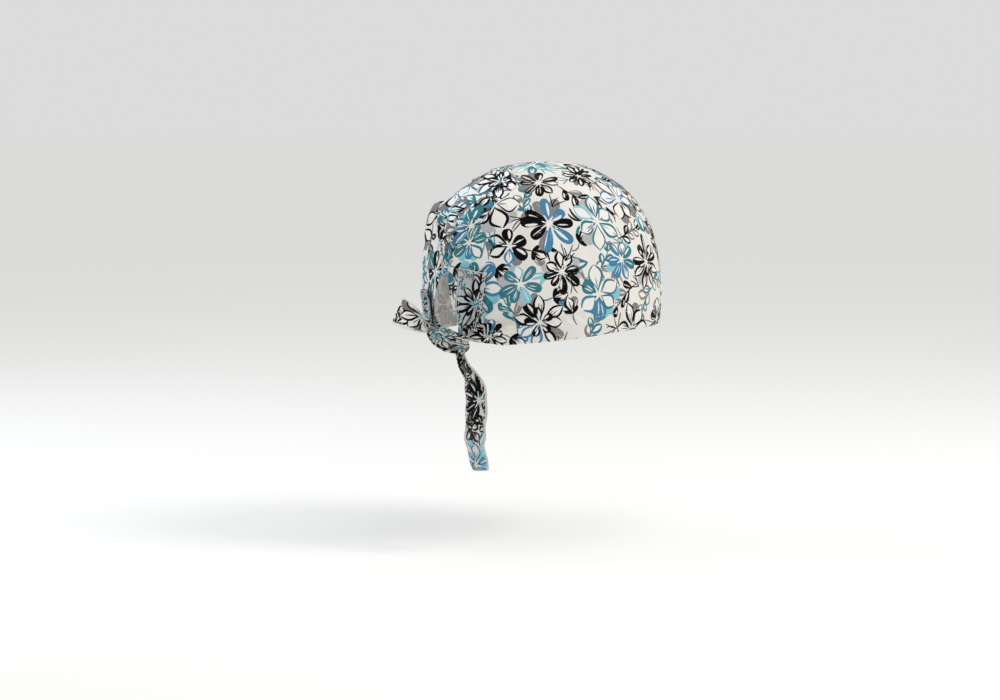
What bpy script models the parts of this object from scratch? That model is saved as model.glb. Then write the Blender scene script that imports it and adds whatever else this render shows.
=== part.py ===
"""Tie-back surgical scrub cap of printed cotton, shown as worn, with its ties knotted at the nape.

The wearer faces -Y and +Z is up, so the wearer's right side is -X and the nape is +Y. The origin is
the middle of the head opening. Every cloth piece is a thin closed wall between two grids of points,
an outer face and the same face set in by the cloth's thickness. The cap's own shape is one skin, a
distance from the head's centre for each direction, and each panel is the part of that skin between
two of its edges. Units are metres, and angles in the tables are degrees.
"""

import math
from collections import namedtuple

import bmesh
import bpy
import numpy as np

# Driving sizes of the cap's form
HALF_LENGTH = 0.101  # middle of the head opening to the outside of the back
HALF_WIDTH = 0.081  # middle of the head opening to the outside of one side
WIDEST_LEVEL = 0.030  # height of the widest ring above the head opening
CROWN_RISE = 0.102  # widest ring up to the top of the crown
SIDE_CURVE = 0.092  # below the widest ring, the height at which the sides would close in
ROUNDNESS = 2.3  # power of the profile: 2 is an ellipse, more is squarer
NAPE_TUCK = 0.011  # how far the cloth is drawn in under the back of the head
NAPE_SPREAD = 34.0  # half width of that drawing in, in degrees round the nape
NAPE_DROP = 0.36  # slope at which the drawing in is full
RIM_LIFT = 0.008  # how much higher the rim lies at the forehead than at the sides
FOLD_HEIGHT = 0.010  # height that the folds' shares refer to
FOLD_REACH = 0.020  # spread that the folds' shares refer to
PLEAT_HEIGHT = 0.0042  # height of the gathers in the back panel
PANEL_PUFF = 0.0025  # how far the back panel bags out between its seams

# Cloth and clearances
CLOTH = 0.0012  # wall of the panels
HEM_WALL = 0.0018  # wall where the lower edge is turned up and stitched
HEM_DEPTH = 0.019  # height of the turned-up hem
TIE_WIDTH = 0.022
TIE_WALL = 0.0014  # folded and stitched strap
GAP = 0.0003  # between neighbouring pieces
TIE_GAP = 0.0005  # between a strap and the curved panel under it
SLOPE_STEP = 0.0002  # length over which the skin's slope is taken

# The knot and the tails
KNOT_X = -0.0072
KNOT_SET_IN = 0.0015  # middle of the knot, in front of the outside of the back
KNOT_Z = 0.0
KNOT_WIDTH = 0.045
KNOT_DEPTH = 0.015
KNOT_HEIGHT = 0.019
BAND_WIDTH = 0.0115  # a bunched strap inside the knot, across
BAND_WALL = 0.0076  # the same strap, through its folded layers
HANGING_LENGTH = 0.089
HANGING_DRIFT = 0.0155  # how far the hanging tail swings over to the wearer's right and forward
SHORT_LENGTH = 0.0275  # free end back to where the knot lets it go

# How finely the surfaces are divided
STEPS_PER_ROW = 2  # between two rows of the seam table
PANEL_ROWS = 20  # front panel, seam to rim
PLEAT_COLUMNS = 20  # back panel, right seam to left seam

Seam = namedtuple("Seam", "right_azimuth right_polar left_azimuth left_polar rim_azimuth")
Fold = namedtuple("Fold", "azimuth polar height across above below turn")
Pleat = namedtuple("Pleat", "across height spread low high")
Station = namedtuple("Station", "azimuth polar width lift")
BandPoint = namedtuple("BandPoint", "right back up width roll")
TailPoint = namedtuple("TailPoint", "along drift rise width turn")

# Edges of the front panel at the back, from the nape up both sides of the keyhole opening, along both
# seams of the back panel and over the crown. Azimuth runs from the nape towards the wearer's right and
# polar angle down from the crown. Rim azimuth is where the cloth's grain line from that point ends.
SEAMS = (
    Seam(10.0, 104.8, -5.0, 104.8, 10.0),
    Seam(9.2, 99.0, -6.4, 99.0, 14.0),
    Seam(7.4, 92.0, -5.2, 92.0, 19.0),
    Seam(5.6, 86.0, -2.8, 86.0, 25.0),
    Seam(4.4, 80.0, -1.0, 80.0, 32.0),
    Seam(4.2, 74.0, -1.4, 74.0, 39.0),
    Seam(5.6, 69.0, -3.0, 69.0, 46.0),
    Seam(8.6, 64.5, -6.8, 64.5, 54.0),
    Seam(13.2, 59.5, -13.0, 59.5, 63.0),
    Seam(18.0, 54.8, -20.0, 54.8, 73.0),
    Seam(21.8, 50.4, -24.0, 50.4, 83.0),
    Seam(24.4, 45.0, -26.6, 45.0, 94.0),
    Seam(26.6, 39.5, -28.6, 39.5, 106.0),
    Seam(28.6, 33.2, -30.6, 33.2, 120.0),
    Seam(23.4, 29.0, -34.6, 27.6, 134.0),
    Seam(13.0, 23.0, -38.0, 22.0, 149.0),
    Seam(-1.0, 17.8, -32.0, 17.0, 165.0),
    Seam(-16.0, 15.2, -16.0, 15.2, 180.0),
)
KEYHOLE_ROW = 4  # the back panel's lower tip is at this row, and the opening is below it

# Height of the rim round the head, as a share of RIM_LIFT above the head opening
RIM = ((0, 0.0), (10, -0.05), (19, -0.32), (29, -0.45), (49, -0.12), (72, 0.22), (101, 0.62),
       (140, 0.82), (180, 1.0))

# Dents and folds pressed into the whole skin. Height is a share of FOLD_HEIGHT, and the spreads across,
# above and below are shares of FOLD_REACH, in a frame turned by turn degrees.
FOLDS = (
    Fold(-32.0, 52.0, 0.95, 0.80, 0.50, 1.30, 0),  # left shoulder, where the seam stands out
    Fold(24.0, 49.0, 0.40, 0.70, 0.50, 1.20, 0),  # right shoulder
    Fold(-18.0, 86.0, -0.26, 0.55, 0.90, 0.80, 12),  # pinch beside the left edge of the opening
    Fold(30.0, 104.0, 0.24, 1.00, 0.17, 0.17, 10),  # gathers that run to the knot, right side
    Fold(31.0, 99.5, -0.20, 1.00, 0.15, 0.15, 16),
    Fold(30.0, 94.5, 0.20, 1.00, 0.18, 0.18, 24),
    Fold(-27.0, 103.0, 0.24, 1.00, 0.17, 0.17, -10),  # gathers that run to the knot, left side
    Fold(-28.0, 98.0, -0.20, 1.00, 0.16, 0.16, -18),
    Fold(52.0, 66.0, -0.16, 0.80, 1.30, 1.30, -20),  # soft dents of the sides
    Fold(84.0, 84.0, -0.12, 0.50, 1.20, 0.90, 10),
    Fold(128.0, 62.0, -0.12, 0.70, 1.10, 1.10, 14),
    Fold(-60.0, 68.0, -0.18, 0.80, 1.30, 1.30, 18),
    Fold(-112.0, 80.0, -0.12, 0.60, 1.20, 1.00, -8),
)

# Gathers of the back panel. Across is a share of the panel from its right seam to its left one, and low
# and high are shares of its height from the tip to the crown.
PLEATS = (
    Pleat(0.85, 0.80, 0.080, 0.06, 0.60),
    Pleat(0.68, -0.75, 0.075, 0.08, 0.56),
    Pleat(0.50, 0.80, 0.080, 0.06, 0.60),
    Pleat(0.33, -0.75, 0.070, 0.08, 0.54),
    Pleat(0.17, 0.75, 0.070, 0.06, 0.56),
)

# Middle lines of the straps that are sewn on beside the opening. Width is a share of TIE_WIDTH, and lift
# is how far the strap stands off the panel, as a share of KNOT_DEPTH.
RIGHT_TIE = (
    Station(18.2, 77.0, 1.00, 0.0),
    Station(17.4, 82.5, 1.00, 0.0),
    Station(16.8, 88.0, 0.98, 0.0),
    Station(15.8, 94.0, 0.90, 0.0),
    Station(14.6, 99.0, 0.70, 0.04),
    Station(13.8, 101.4, 0.54, 0.12),
    Station(13.4, 103.4, 0.46, 0.29),
)
LEFT_TIE = (
    Station(-14.2, 87.0, 1.00, 0.0),
    Station(-13.8, 92.0, 0.96, 0.0),
    Station(-12.6, 96.5, 0.82, 0.0),
    Station(-11.0, 100.5, 0.58, 0.06),
    Station(-9.8, 102.3, 0.46, 0.18),
    Station(-8.8, 103.5, 0.40, 0.32),
)

# The bunched straps that cross in the knot. Places are shares of the knot's width, depth and height from
# its middle, width is a share of BAND_WIDTH, and roll turns the band about its own path.
KNOT_BANDS = {
    "wrap": (
        BandPoint(-0.41, 0.14, 0.22, 0.74, 0),
        BandPoint(-0.27, 0.25, 0.08, 0.90, 0),
        BandPoint(-0.09, 0.32, -0.02, 1.00, 0),
        BandPoint(0.07, 0.22, -0.18, 0.96, 0),
        BandPoint(0.16, 0.02, -0.28, 0.80, 0),
    ),
    "strand": (
        BandPoint(0.44, -0.26, -0.08, 0.66, 0),
        BandPoint(0.31, -0.02, 0.00, 0.78, 0),
        BandPoint(0.13, 0.12, 0.12, 0.88, 0),
        BandPoint(-0.06, 0.14, 0.20, 0.88, 0),
        BandPoint(-0.22, 0.06, 0.26, 0.74, 0),
    ),
    "loop": (
        BandPoint(0.45, -0.26, -0.22, 0.62, 0),
        BandPoint(0.27, -0.10, -0.28, 0.84, 0),
        BandPoint(0.06, 0.00, -0.26, 0.90, 0),
        BandPoint(-0.16, 0.02, -0.16, 0.90, 0),
        BandPoint(-0.34, -0.04, 0.02, 0.80, 0),
    ),
}
TAIL_SEAT = KNOT_BANDS["loop"][1]  # the band that the hanging tail drops from
SHORT_TAIL_SEAT = (-0.44, 0.23, 0.45)  # where the short tail leaves the knot, in the same shares

# The two loose ends. Along is a share of the tail's length, drift of HANGING_DRIFT, rise of
# SHORT_LENGTH, width of TIE_WIDTH, and turn is the way the strap's flat side faces.
HANGING_TAIL = (
    TailPoint(0.00, 0.00, 0.0, 0.34, 22),
    TailPoint(0.11, 0.18, 0.0, 0.46, 18),
    TailPoint(0.22, 0.55, 0.0, 0.70, 15),
    TailPoint(0.34, 0.71, 0.0, 0.96, 9),
    TailPoint(0.50, 0.71, 0.0, 1.00, 6),
    TailPoint(0.68, 0.68, 0.0, 1.00, 4),
    TailPoint(0.84, 0.77, 0.0, 1.00, 0),
    TailPoint(1.00, 1.00, 0.0, 1.00, -5),
)
SHORT_TAIL = (
    TailPoint(0.00, 0.00, 0.00, 0.48, 30),
    TailPoint(0.25, 0.25, 0.22, 0.66, 30),
    TailPoint(0.50, 0.50, 0.46, 0.84, 31),
    TailPoint(0.75, 0.75, 0.73, 0.96, 32),
    TailPoint(1.00, 1.00, 1.00, 1.00, 33),
)

# Name of each piece's cloth: base colour and roughness
COTTON = {
    "front_cotton": ((0.80, 0.79, 0.76, 1), 0.86),
    "back_cotton": ((0.62, 0.70, 0.73, 1), 0.86),
    "tie_cotton": ((0.50, 0.53, 0.55, 1), 0.84),
    "knot_cotton": ((0.40, 0.43, 0.45, 1), 0.84),
}


def smooth_curve(rows, steps):
    """Catmull-Rom curve through the rows of a table, with steps pieces between two rows."""
    keys = np.asarray(rows, float)
    ends = np.vstack([2 * keys[0] - keys[1], keys, 2 * keys[-1] - keys[-2]])
    place = np.linspace(0, len(keys) - 1, (len(keys) - 1) * steps + 1)
    row = np.minimum(place.astype(int), len(keys) - 2)
    t = (place - row)[:, None]
    a, b, c, d = ends[row], ends[row + 1], ends[row + 2], ends[row + 3]
    return 0.5 * (2 * b + (c - a) * t + (2 * a - 5 * b + 4 * c - d) * t**2
                  + (3 * b - a - 3 * c + d) * t**3)


def unit(vectors):
    return vectors / np.linalg.norm(vectors, axis=-1, keepdims=True)


def direction(azimuth, polar):
    """Unit vectors from the head's centre, for angles in degrees."""
    a, p = np.radians(azimuth), np.radians(polar)
    return np.stack([-np.sin(a) * np.sin(p), np.cos(a) * np.sin(p), np.cos(p) + 0 * a], axis=-1)


def smooth_step(x):
    x = np.clip(x, 0, 1)
    return x * x * (3 - 2 * x)


def fold_lift(d):
    """Sum of the folds: each is a bell over the skin, with its own spread across, above and below."""
    total = np.zeros(d.shape[:-1])
    for fold in FOLDS:
        a, p, turn = (math.radians(x) for x in (fold.azimuth, fold.polar, fold.turn))
        middle = direction(fold.azimuth, fold.polar)
        east = np.array([-math.cos(a), -math.sin(a), 0])
        north = np.array([math.sin(a) * math.cos(p), -math.cos(a) * math.cos(p), math.sin(p)])
        across = HALF_LENGTH * (d @ (east * math.cos(turn) + north * math.sin(turn)))
        up = HALF_LENGTH * (d @ (north * math.cos(turn) - east * math.sin(turn)))
        reach = FOLD_REACH * np.where(up > 0, fold.above, fold.below)
        bell = np.exp(-((across / (fold.across * FOLD_REACH)) ** 2) - (up / reach) ** 2)
        total += FOLD_HEIGHT * fold.height * bell * (d @ middle > 0)
    return total


def skin_radius(d):
    """Distance of the cap's outer face from the head's centre, for unit vectors d.

    It is a superellipsoid, less the drawing in at the nape, plus the folds.
    """
    rise = np.where(d[..., 2] > 0, CROWN_RISE, SIDE_CURVE)
    plan = np.hypot(d[..., 0] / HALF_WIDTH, d[..., 1] / HALF_LENGTH)
    radius = (plan**ROUNDNESS + np.abs(d[..., 2] / rise) ** ROUNDNESS) ** (-1 / ROUNDNESS)
    azimuth = np.degrees(np.arctan2(-d[..., 0], d[..., 1]))
    low = np.clip(-d[..., 2] / NAPE_DROP, 0, 1) ** 2
    return radius - NAPE_TUCK * low * np.exp(-((azimuth / NAPE_SPREAD) ** 2)) + fold_lift(d)


def skin_normal(d):
    """Outward unit normal of the skin, the gradient of distance less skin radius."""
    place = d * skin_radius(d)[..., None]
    slope = []
    for axis in np.eye(3):
        ahead, behind = place + SLOPE_STEP * axis, place - SLOPE_STEP * axis
        rise = [np.linalg.norm(x, axis=-1) - skin_radius(unit(x)) for x in (ahead, behind)]
        slope.append(rise[0] - rise[1])
    return unit(np.stack(slope, axis=-1))


def on_skin(d, lift=0.0):
    """Points of the skin in the part's frame, lifted off it by lift."""
    centre = np.array([0, 0, WIDEST_LEVEL])
    return centre + d * skin_radius(d)[..., None] + skin_normal(d) * np.asarray(lift)[..., None]


def rim_height(azimuth):
    angles, shares = np.array(RIM, float).T
    return RIM_LIFT * np.interp(np.abs(azimuth), angles, shares)


def rim_direction(azimuth):
    """Directions in which the skin reaches the rim's height, found by repeated correction."""
    drop = WIDEST_LEVEL - rim_height(azimuth)
    polar = np.full(np.shape(azimuth), 100.0)
    for _ in range(12):
        radius = skin_radius(direction(azimuth, polar))
        polar = 90 + np.degrees(np.arcsin(np.clip(drop / radius, -1, 1)))
    return direction(azimuth, polar)


def between(start, end, share):
    """Directions on the great circles from start to end, for each share of the way."""
    angle = np.arccos(np.clip((start * end).sum(-1), -1, 1))[..., None]
    angle = np.maximum(angle, 1e-9)
    return unit((np.sin((1 - share) * angle) * start + np.sin(share * angle) * end) / np.sin(angle))


def seam_curves():
    """Directions along the right and left edges, nape to crown, and the rim azimuth of each."""
    rows = smooth_curve(SEAMS, STEPS_PER_ROW)
    return direction(rows[:, 0], rows[:, 1]), direction(rows[:, 2], rows[:, 3]), rows[:, 4]


def cloth_material(name):
    colour, roughness = COTTON[name]
    material = bpy.data.materials.get(name)
    if material:
        return material
    material = bpy.data.materials.new(name)
    material.use_nodes = True
    shader = material.node_tree.nodes["Principled BSDF"]
    shader.inputs["Base Color"].default_value = colour
    shader.inputs["Roughness"].default_value = roughness
    shader.inputs["Metallic"].default_value = 0.0
    material.diffuse_color = colour
    return material


def link(name, bm, material):
    """Turns a bmesh into a named object with its material, its faces out and its creases sharp."""
    bmesh.ops.remove_doubles(bm, verts=bm.verts, dist=1e-6)
    bmesh.ops.recalc_face_normals(bm, faces=bm.faces)
    mesh = bpy.data.meshes.new(name)
    bm.to_mesh(mesh)
    bm.free()
    mesh.shade_smooth()
    mesh.set_sharp_from_angle(angle=math.radians(50))
    mesh.materials.append(cloth_material(material))
    piece = bpy.data.objects.new(name, mesh)
    bpy.context.scene.collection.objects.link(piece)
    return piece


def wall(name, outer, inner, material):
    """Closed wall between two grids of points: both faces, and a strip round their four sides."""
    rows, columns = outer.shape[:2]
    bm = bmesh.new()
    faces = [[[bm.verts.new(p) for p in row] for row in grid] for grid in (outer, inner)]
    for i in range(rows - 1):
        for j in range(columns - 1):
            for g, flip in zip(faces, (False, True)):
                ring = [g[i][j], g[i + 1][j], g[i + 1][j + 1], g[i][j + 1]]
                bm.faces.new(ring[::-1] if flip else ring)
    ring = [(0, j) for j in range(columns)] + [(i, columns - 1) for i in range(1, rows)]
    ring += [(rows - 1, j) for j in range(columns - 2, -1, -1)] + [(i, 0) for i in range(rows - 2, 0, -1)]
    for (i, j), (k, m) in zip(ring, ring[1:] + ring[:1]):
        bm.faces.new([faces[0][i][j], faces[0][k][m], faces[1][k][m], faces[1][i][j]])
    return link(name, bm, material)


def front_panel():
    """Front, top and sides in one: grain lines from the seams down to the rim, with a thicker hem."""
    right, left, rim_azimuth = seam_curves()
    top = np.vstack([right, left[-2::-1]])
    rim = np.vstack([rim_direction(rim_azimuth), rim_direction(-rim_azimuth[-2::-1])])
    rim[0], rim[-1] = top[0], top[-1]
    share = np.linspace(0, 1, PANEL_ROWS + 1)[:, None, None]
    d = between(top[None], rim[None], share)
    outer = on_skin(d)
    azimuth = np.degrees(np.arctan2(-outer[..., 0], outer[..., 1]))
    over_hem = (outer[..., 2] - rim_height(azimuth) - HEM_DEPTH) / CLOTH
    thickness = HEM_WALL + (CLOTH - HEM_WALL) * smooth_step(over_hem)
    return wall("front_panel", outer, on_skin(d, -thickness), "front_cotton")


def back_panel():
    """Gathered panel between the two seams, from its tip over the opening up to the crown."""
    right, left, _ = seam_curves()
    first = KEYHOLE_ROW * STEPS_PER_ROW
    edge = np.vstack([right[first:], left[-2 : first - 1 : -1]])
    inward = unit(np.cross(np.gradient(edge, axis=0), edge))
    inward *= np.sign(((edge.mean(axis=0) - edge) * inward).sum())
    edge = unit(edge + inward * (GAP / skin_radius(edge))[:, None])
    rows = len(right) - first
    right, left = edge[:rows], edge[: rows - 2 : -1]
    across = np.linspace(0, 1, PLEAT_COLUMNS + 1)
    height = np.linspace(0, 1, rows)
    d = between(right[:, None], left[:, None], across[None, :, None])
    lift = PANEL_PUFF * np.sin(math.pi * across)[None] * np.sin(math.pi * np.sqrt(height))[:, None]
    for pleat in PLEATS:
        bell = np.exp(-(((across - pleat.across) / pleat.spread) ** 2))
        bell *= smooth_step(across / 0.08) * smooth_step((1 - across) / 0.08)
        run = smooth_step((height - pleat.low) / 0.2) * smooth_step((pleat.high - height) / 0.3)
        width = np.linalg.norm(right - left, axis=-1) * HALF_LENGTH
        flat = smooth_step(width / (4 * PLEAT_HEIGHT))
        lift += PLEAT_HEIGHT * pleat.height * bell[None] * (run * flat)[:, None]
    return wall("back_panel", on_skin(d, lift), on_skin(d, lift - CLOTH), "back_cotton")


def strap_on_cap(name, stations, columns=6, steps=3):
    """Strap laid on the skin along its middle line, each row of it square to that line."""
    rows = smooth_curve(stations, steps)
    middle = on_skin(direction(rows[:, 0], rows[:, 1]))
    normal = skin_normal(direction(rows[:, 0], rows[:, 1]))
    side = unit(np.cross(np.gradient(middle, axis=0), normal))
    across = np.linspace(-0.5, 0.5, columns + 1)
    reach = TIE_WIDTH * rows[:, 2, None, None] * across[None, :, None]
    centre = np.array([0, 0, WIDEST_LEVEL])
    d = unit(middle[:, None] + side[:, None] * reach - centre)
    lift = TIE_GAP + KNOT_DEPTH * rows[:, 3, None] + 0 * across[None]
    return wall(name, on_skin(d, lift + TIE_WALL), on_skin(d, lift), "tie_cotton")


def knot_place(shares):
    """Points in the knot, from shares of its width to the right, its depth and its height."""
    middle = np.array([KNOT_X, HALF_LENGTH - KNOT_SET_IN, KNOT_Z])
    return middle + np.asarray(shares, float) * np.array([-KNOT_WIDTH, KNOT_DEPTH, KNOT_HEIGHT])


def band(points, steps=3, sides=12):
    """Closed flattened tube along a path of the knot, its section an oval of the bunched strap."""
    rows = smooth_curve(points, steps)
    path = knot_place(rows[:, :3])
    along = unit(np.gradient(path, axis=0))
    out = unit(np.cross(along, np.cross([0.0, 1.0, 0.0], along)))
    side = np.cross(along, out)
    roll = np.radians(rows[:, 4])[:, None]
    flat = side * np.cos(roll) + out * np.sin(roll)
    deep = out * np.cos(roll) - side * np.sin(roll)
    angle = np.linspace(0, 2 * math.pi, sides, endpoint=False)
    wide = 0.5 * BAND_WIDTH * rows[:, 3]
    thick = 0.5 * BAND_WALL * np.sqrt(rows[:, 3])
    rings = (path[:, None] + (wide[:, None] * np.cos(angle))[..., None] * flat[:, None]
             + (thick[:, None] * np.sin(angle))[..., None] * deep[:, None])
    caps = [(path[0] - along[0] * thick[0] * 0.6, 0), (path[-1] + along[-1] * thick[-1] * 0.6, -1)]
    bm = bmesh.new()
    verts = [[bm.verts.new(p) for p in ring] for ring in rings]
    for a, b in zip(verts, verts[1:]):
        for i in range(sides):
            k = (i + 1) % sides
            bm.faces.new([a[i], a[k], b[k], b[i]])
    for tip, end in caps:
        point = bm.verts.new(tip)
        for i in range(sides):
            bm.faces.new([verts[end][i], verts[end][(i + 1) % sides], point])
    return bm


def knot():
    """The crossed straps as one body: each band's tube, joined by a Boolean union."""
    names = list(KNOT_BANDS)
    whole = link("knot", band(KNOT_BANDS[names[0]]), "knot_cotton")
    for name in names[1:]:
        part = link("knot_" + name, band(KNOT_BANDS[name]), "knot_cotton")
        join = whole.modifiers.new("join " + name, "BOOLEAN")
        join.operation = "UNION"
        join.solver = "EXACT"
        join.use_self = True
        join.object = part
        part.hide_render = True
        part.display_type = "WIRE"
    return whole


def ribbon(name, path, widths, facing, columns=4):
    """Flat strap along a path; facing holds the unit vectors across it at each point."""
    along = unit(np.gradient(path, axis=0))
    across = unit(facing - along * (facing * along).sum(-1, keepdims=True))
    normal = np.cross(along, across)
    reach = np.linspace(-0.5, 0.5, columns + 1)[None, :, None] * widths[:, None, None]
    middle = path[:, None] + across[:, None] * reach
    half = 0.5 * TIE_WALL * normal[:, None]
    return wall(name, middle + half, middle - half, "tie_cotton")


def hanging_tail():
    """The long loose end, straight down from under the knot with a swing to the right and forward."""
    rows = smooth_curve(HANGING_TAIL, 3)
    root = knot_place(TAIL_SEAT[:3]) - np.array([0, 0, 0.5 * BAND_WIDTH * TAIL_SEAT.width + GAP])
    swing = HANGING_DRIFT * rows[:, 1]
    path = root + np.stack([-0.64 * swing, -0.77 * swing, -HANGING_LENGTH * rows[:, 0]], axis=-1)
    turn = np.radians(rows[:, 4])
    facing = np.stack([np.cos(turn), np.sin(turn), 0 * turn], axis=-1)
    return ribbon("hanging_tail", path, TIE_WIDTH * rows[:, 3], facing)


def short_tail():
    """The short loose end, which stands out behind the knot and rises to its square end."""
    rows = smooth_curve(SHORT_TAIL, 3)
    reach = np.stack([0.36 * rows[:, 1], 0.80 * rows[:, 0], 0.48 * rows[:, 2]], axis=-1)
    turn = np.radians(rows[:, 4])
    facing = np.stack([0.4 * np.sin(turn), -np.sin(turn), np.cos(turn)], axis=-1)
    path = knot_place(SHORT_TAIL_SEAT) + SHORT_LENGTH * reach
    return ribbon("short_tail", path, TIE_WIDTH * rows[:, 3], facing)


def build():
    for item in list(bpy.data.objects):
        bpy.data.objects.remove(item, do_unlink=True)
    front_panel()
    back_panel()
    strap_on_cap("right_tie", RIGHT_TIE)
    strap_on_cap("left_tie", LEFT_TIE)
    knot()
    hanging_tail()
    short_tail()


build()
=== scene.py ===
"""Printed cotton scrub cap, as worn and tied at the nape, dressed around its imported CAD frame.

The wearer faces -Y, +Z is up and the wearer's right is -X. Every cloth piece is a closed wall between
two grids of points, and the knot is three closed bands. All are worked out as whole arrays from the
same skin and tables as the CAD source. The print is drawn as brush strokes: each face of the cloth
carries, for the few strokes that touch it, how far along and how far across the stroke its corners
lie, and the material turns that into ink.
"""

import math
from collections import namedtuple

import bpy
import mathutils
import numpy as np
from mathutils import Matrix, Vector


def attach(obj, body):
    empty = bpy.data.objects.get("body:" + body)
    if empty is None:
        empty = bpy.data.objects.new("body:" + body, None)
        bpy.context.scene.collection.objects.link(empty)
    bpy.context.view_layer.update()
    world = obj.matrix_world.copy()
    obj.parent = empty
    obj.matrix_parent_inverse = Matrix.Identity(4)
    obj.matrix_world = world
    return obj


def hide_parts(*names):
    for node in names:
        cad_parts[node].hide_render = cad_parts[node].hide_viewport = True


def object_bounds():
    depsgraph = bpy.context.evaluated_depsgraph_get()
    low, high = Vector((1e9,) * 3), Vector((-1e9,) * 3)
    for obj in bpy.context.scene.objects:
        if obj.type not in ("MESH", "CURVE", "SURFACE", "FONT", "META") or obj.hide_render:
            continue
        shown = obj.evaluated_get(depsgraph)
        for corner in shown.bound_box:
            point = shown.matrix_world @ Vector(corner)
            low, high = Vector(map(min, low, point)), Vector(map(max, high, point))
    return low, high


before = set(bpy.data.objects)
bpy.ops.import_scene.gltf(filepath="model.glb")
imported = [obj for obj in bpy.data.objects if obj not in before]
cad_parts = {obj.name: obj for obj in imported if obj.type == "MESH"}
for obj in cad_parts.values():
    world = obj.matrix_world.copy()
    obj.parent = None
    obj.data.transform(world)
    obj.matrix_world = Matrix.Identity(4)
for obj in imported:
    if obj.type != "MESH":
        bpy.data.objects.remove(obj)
cad_low, cad_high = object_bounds()

MM = 0.001

# Sizes and tables of the cap's form, as in the CAD source
HALF_LENGTH = 0.101
HALF_WIDTH = 0.081
WIDEST_LEVEL = 0.030
CROWN_RISE = 0.102
SIDE_CURVE = 0.092
ROUNDNESS = 2.3
NAPE_TUCK = 0.011
NAPE_SPREAD = 34.0
NAPE_DROP = 0.36
RIM_LIFT = 0.008
FOLD_HEIGHT = 0.010
FOLD_REACH = 0.020
PLEAT_HEIGHT = 0.0042
PANEL_PUFF = 0.0025
HEM_DEPTH = 0.019
TIE_WIDTH = 0.022
GAP = 0.0003
TIE_GAP = 0.0005
KNOT_X = -0.0072
KNOT_SET_IN = 0.0015
KNOT_Z = 0.0
KNOT_WIDTH = 0.045
KNOT_DEPTH = 0.015
KNOT_HEIGHT = 0.019
BAND_WIDTH = 0.0115
BAND_WALL = 0.0076
HANGING_LENGTH = 0.089
HANGING_DRIFT = 0.0155
SHORT_LENGTH = 0.0275

# Cloth as it shows: one layer of shirting, a turned-up hem and a folded strap
CLOTH = 0.0007
HEM_WALL = 0.0013
STRAP_WALL = 0.0013

# Rows of stitches, each measured from the folded edge that it holds
HEM_STITCH = HEM_DEPTH - 0.0012
OPENING_STITCH = 0.0052
STRAP_STITCH = 0.0021

Seam = namedtuple("Seam", "right_azimuth right_polar left_azimuth left_polar rim_azimuth")
Fold = namedtuple("Fold", "azimuth polar height across above below turn")
Pleat = namedtuple("Pleat", "across height spread low high")
Station = namedtuple("Station", "azimuth polar width lift")
BandPoint = namedtuple("BandPoint", "right back up width roll")
TailPoint = namedtuple("TailPoint", "along drift rise width turn")

SEAMS = (
    Seam(10.0, 104.8, -5.0, 104.8, 10.0),
    Seam(9.2, 99.0, -6.4, 99.0, 14.0),
    Seam(7.4, 92.0, -5.2, 92.0, 19.0),
    Seam(5.6, 86.0, -2.8, 86.0, 25.0),
    Seam(4.4, 80.0, -1.0, 80.0, 32.0),
    Seam(4.2, 74.0, -1.4, 74.0, 39.0),
    Seam(5.6, 69.0, -3.0, 69.0, 46.0),
    Seam(8.6, 64.5, -6.8, 64.5, 54.0),
    Seam(13.2, 59.5, -13.0, 59.5, 63.0),
    Seam(18.0, 54.8, -20.0, 54.8, 73.0),
    Seam(21.8, 50.4, -24.0, 50.4, 83.0),
    Seam(24.4, 45.0, -26.6, 45.0, 94.0),
    Seam(26.6, 39.5, -28.6, 39.5, 106.0),
    Seam(28.6, 33.2, -30.6, 33.2, 120.0),
    Seam(23.4, 29.0, -34.6, 27.6, 134.0),
    Seam(13.0, 23.0, -38.0, 22.0, 149.0),
    Seam(-1.0, 17.8, -32.0, 17.0, 165.0),
    Seam(-16.0, 15.2, -16.0, 15.2, 180.0),
)
KEYHOLE_ROW = 4
# Columns of each panel's cloth between two rows of that table
FRONT_STEPS = 10
BACK_STEPS = 9

RIM = ((0, 0.0), (10, -0.05), (19, -0.32), (29, -0.45), (49, -0.12), (72, 0.22), (101, 0.62),
       (140, 0.82), (180, 1.0))

FOLDS = (
    Fold(-32.0, 52.0, 0.95, 0.80, 0.50, 1.30, 0),
    Fold(24.0, 49.0, 0.40, 0.70, 0.50, 1.20, 0),
    Fold(-18.0, 86.0, -0.26, 0.55, 0.90, 0.80, 12),
    Fold(30.0, 104.0, 0.24, 1.00, 0.17, 0.17, 10),
    Fold(31.0, 99.5, -0.20, 1.00, 0.15, 0.15, 16),
    Fold(30.0, 94.5, 0.20, 1.00, 0.18, 0.18, 24),
    Fold(-27.0, 103.0, 0.24, 1.00, 0.17, 0.17, -10),
    Fold(-28.0, 98.0, -0.20, 1.00, 0.16, 0.16, -18),
    Fold(52.0, 66.0, -0.16, 0.80, 1.30, 1.30, -20),
    Fold(84.0, 84.0, -0.12, 0.50, 1.20, 0.90, 10),
    Fold(128.0, 62.0, -0.12, 0.70, 1.10, 1.10, 14),
    Fold(-60.0, 68.0, -0.18, 0.80, 1.30, 1.30, 18),
    Fold(-112.0, 80.0, -0.12, 0.60, 1.20, 1.00, -8),
)

PLEATS = (
    Pleat(0.85, 0.80, 0.080, 0.06, 0.60),
    Pleat(0.68, -0.75, 0.075, 0.08, 0.56),
    Pleat(0.50, 0.80, 0.080, 0.06, 0.60),
    Pleat(0.33, -0.75, 0.070, 0.08, 0.54),
    Pleat(0.17, 0.75, 0.070, 0.06, 0.56),
)

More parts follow.
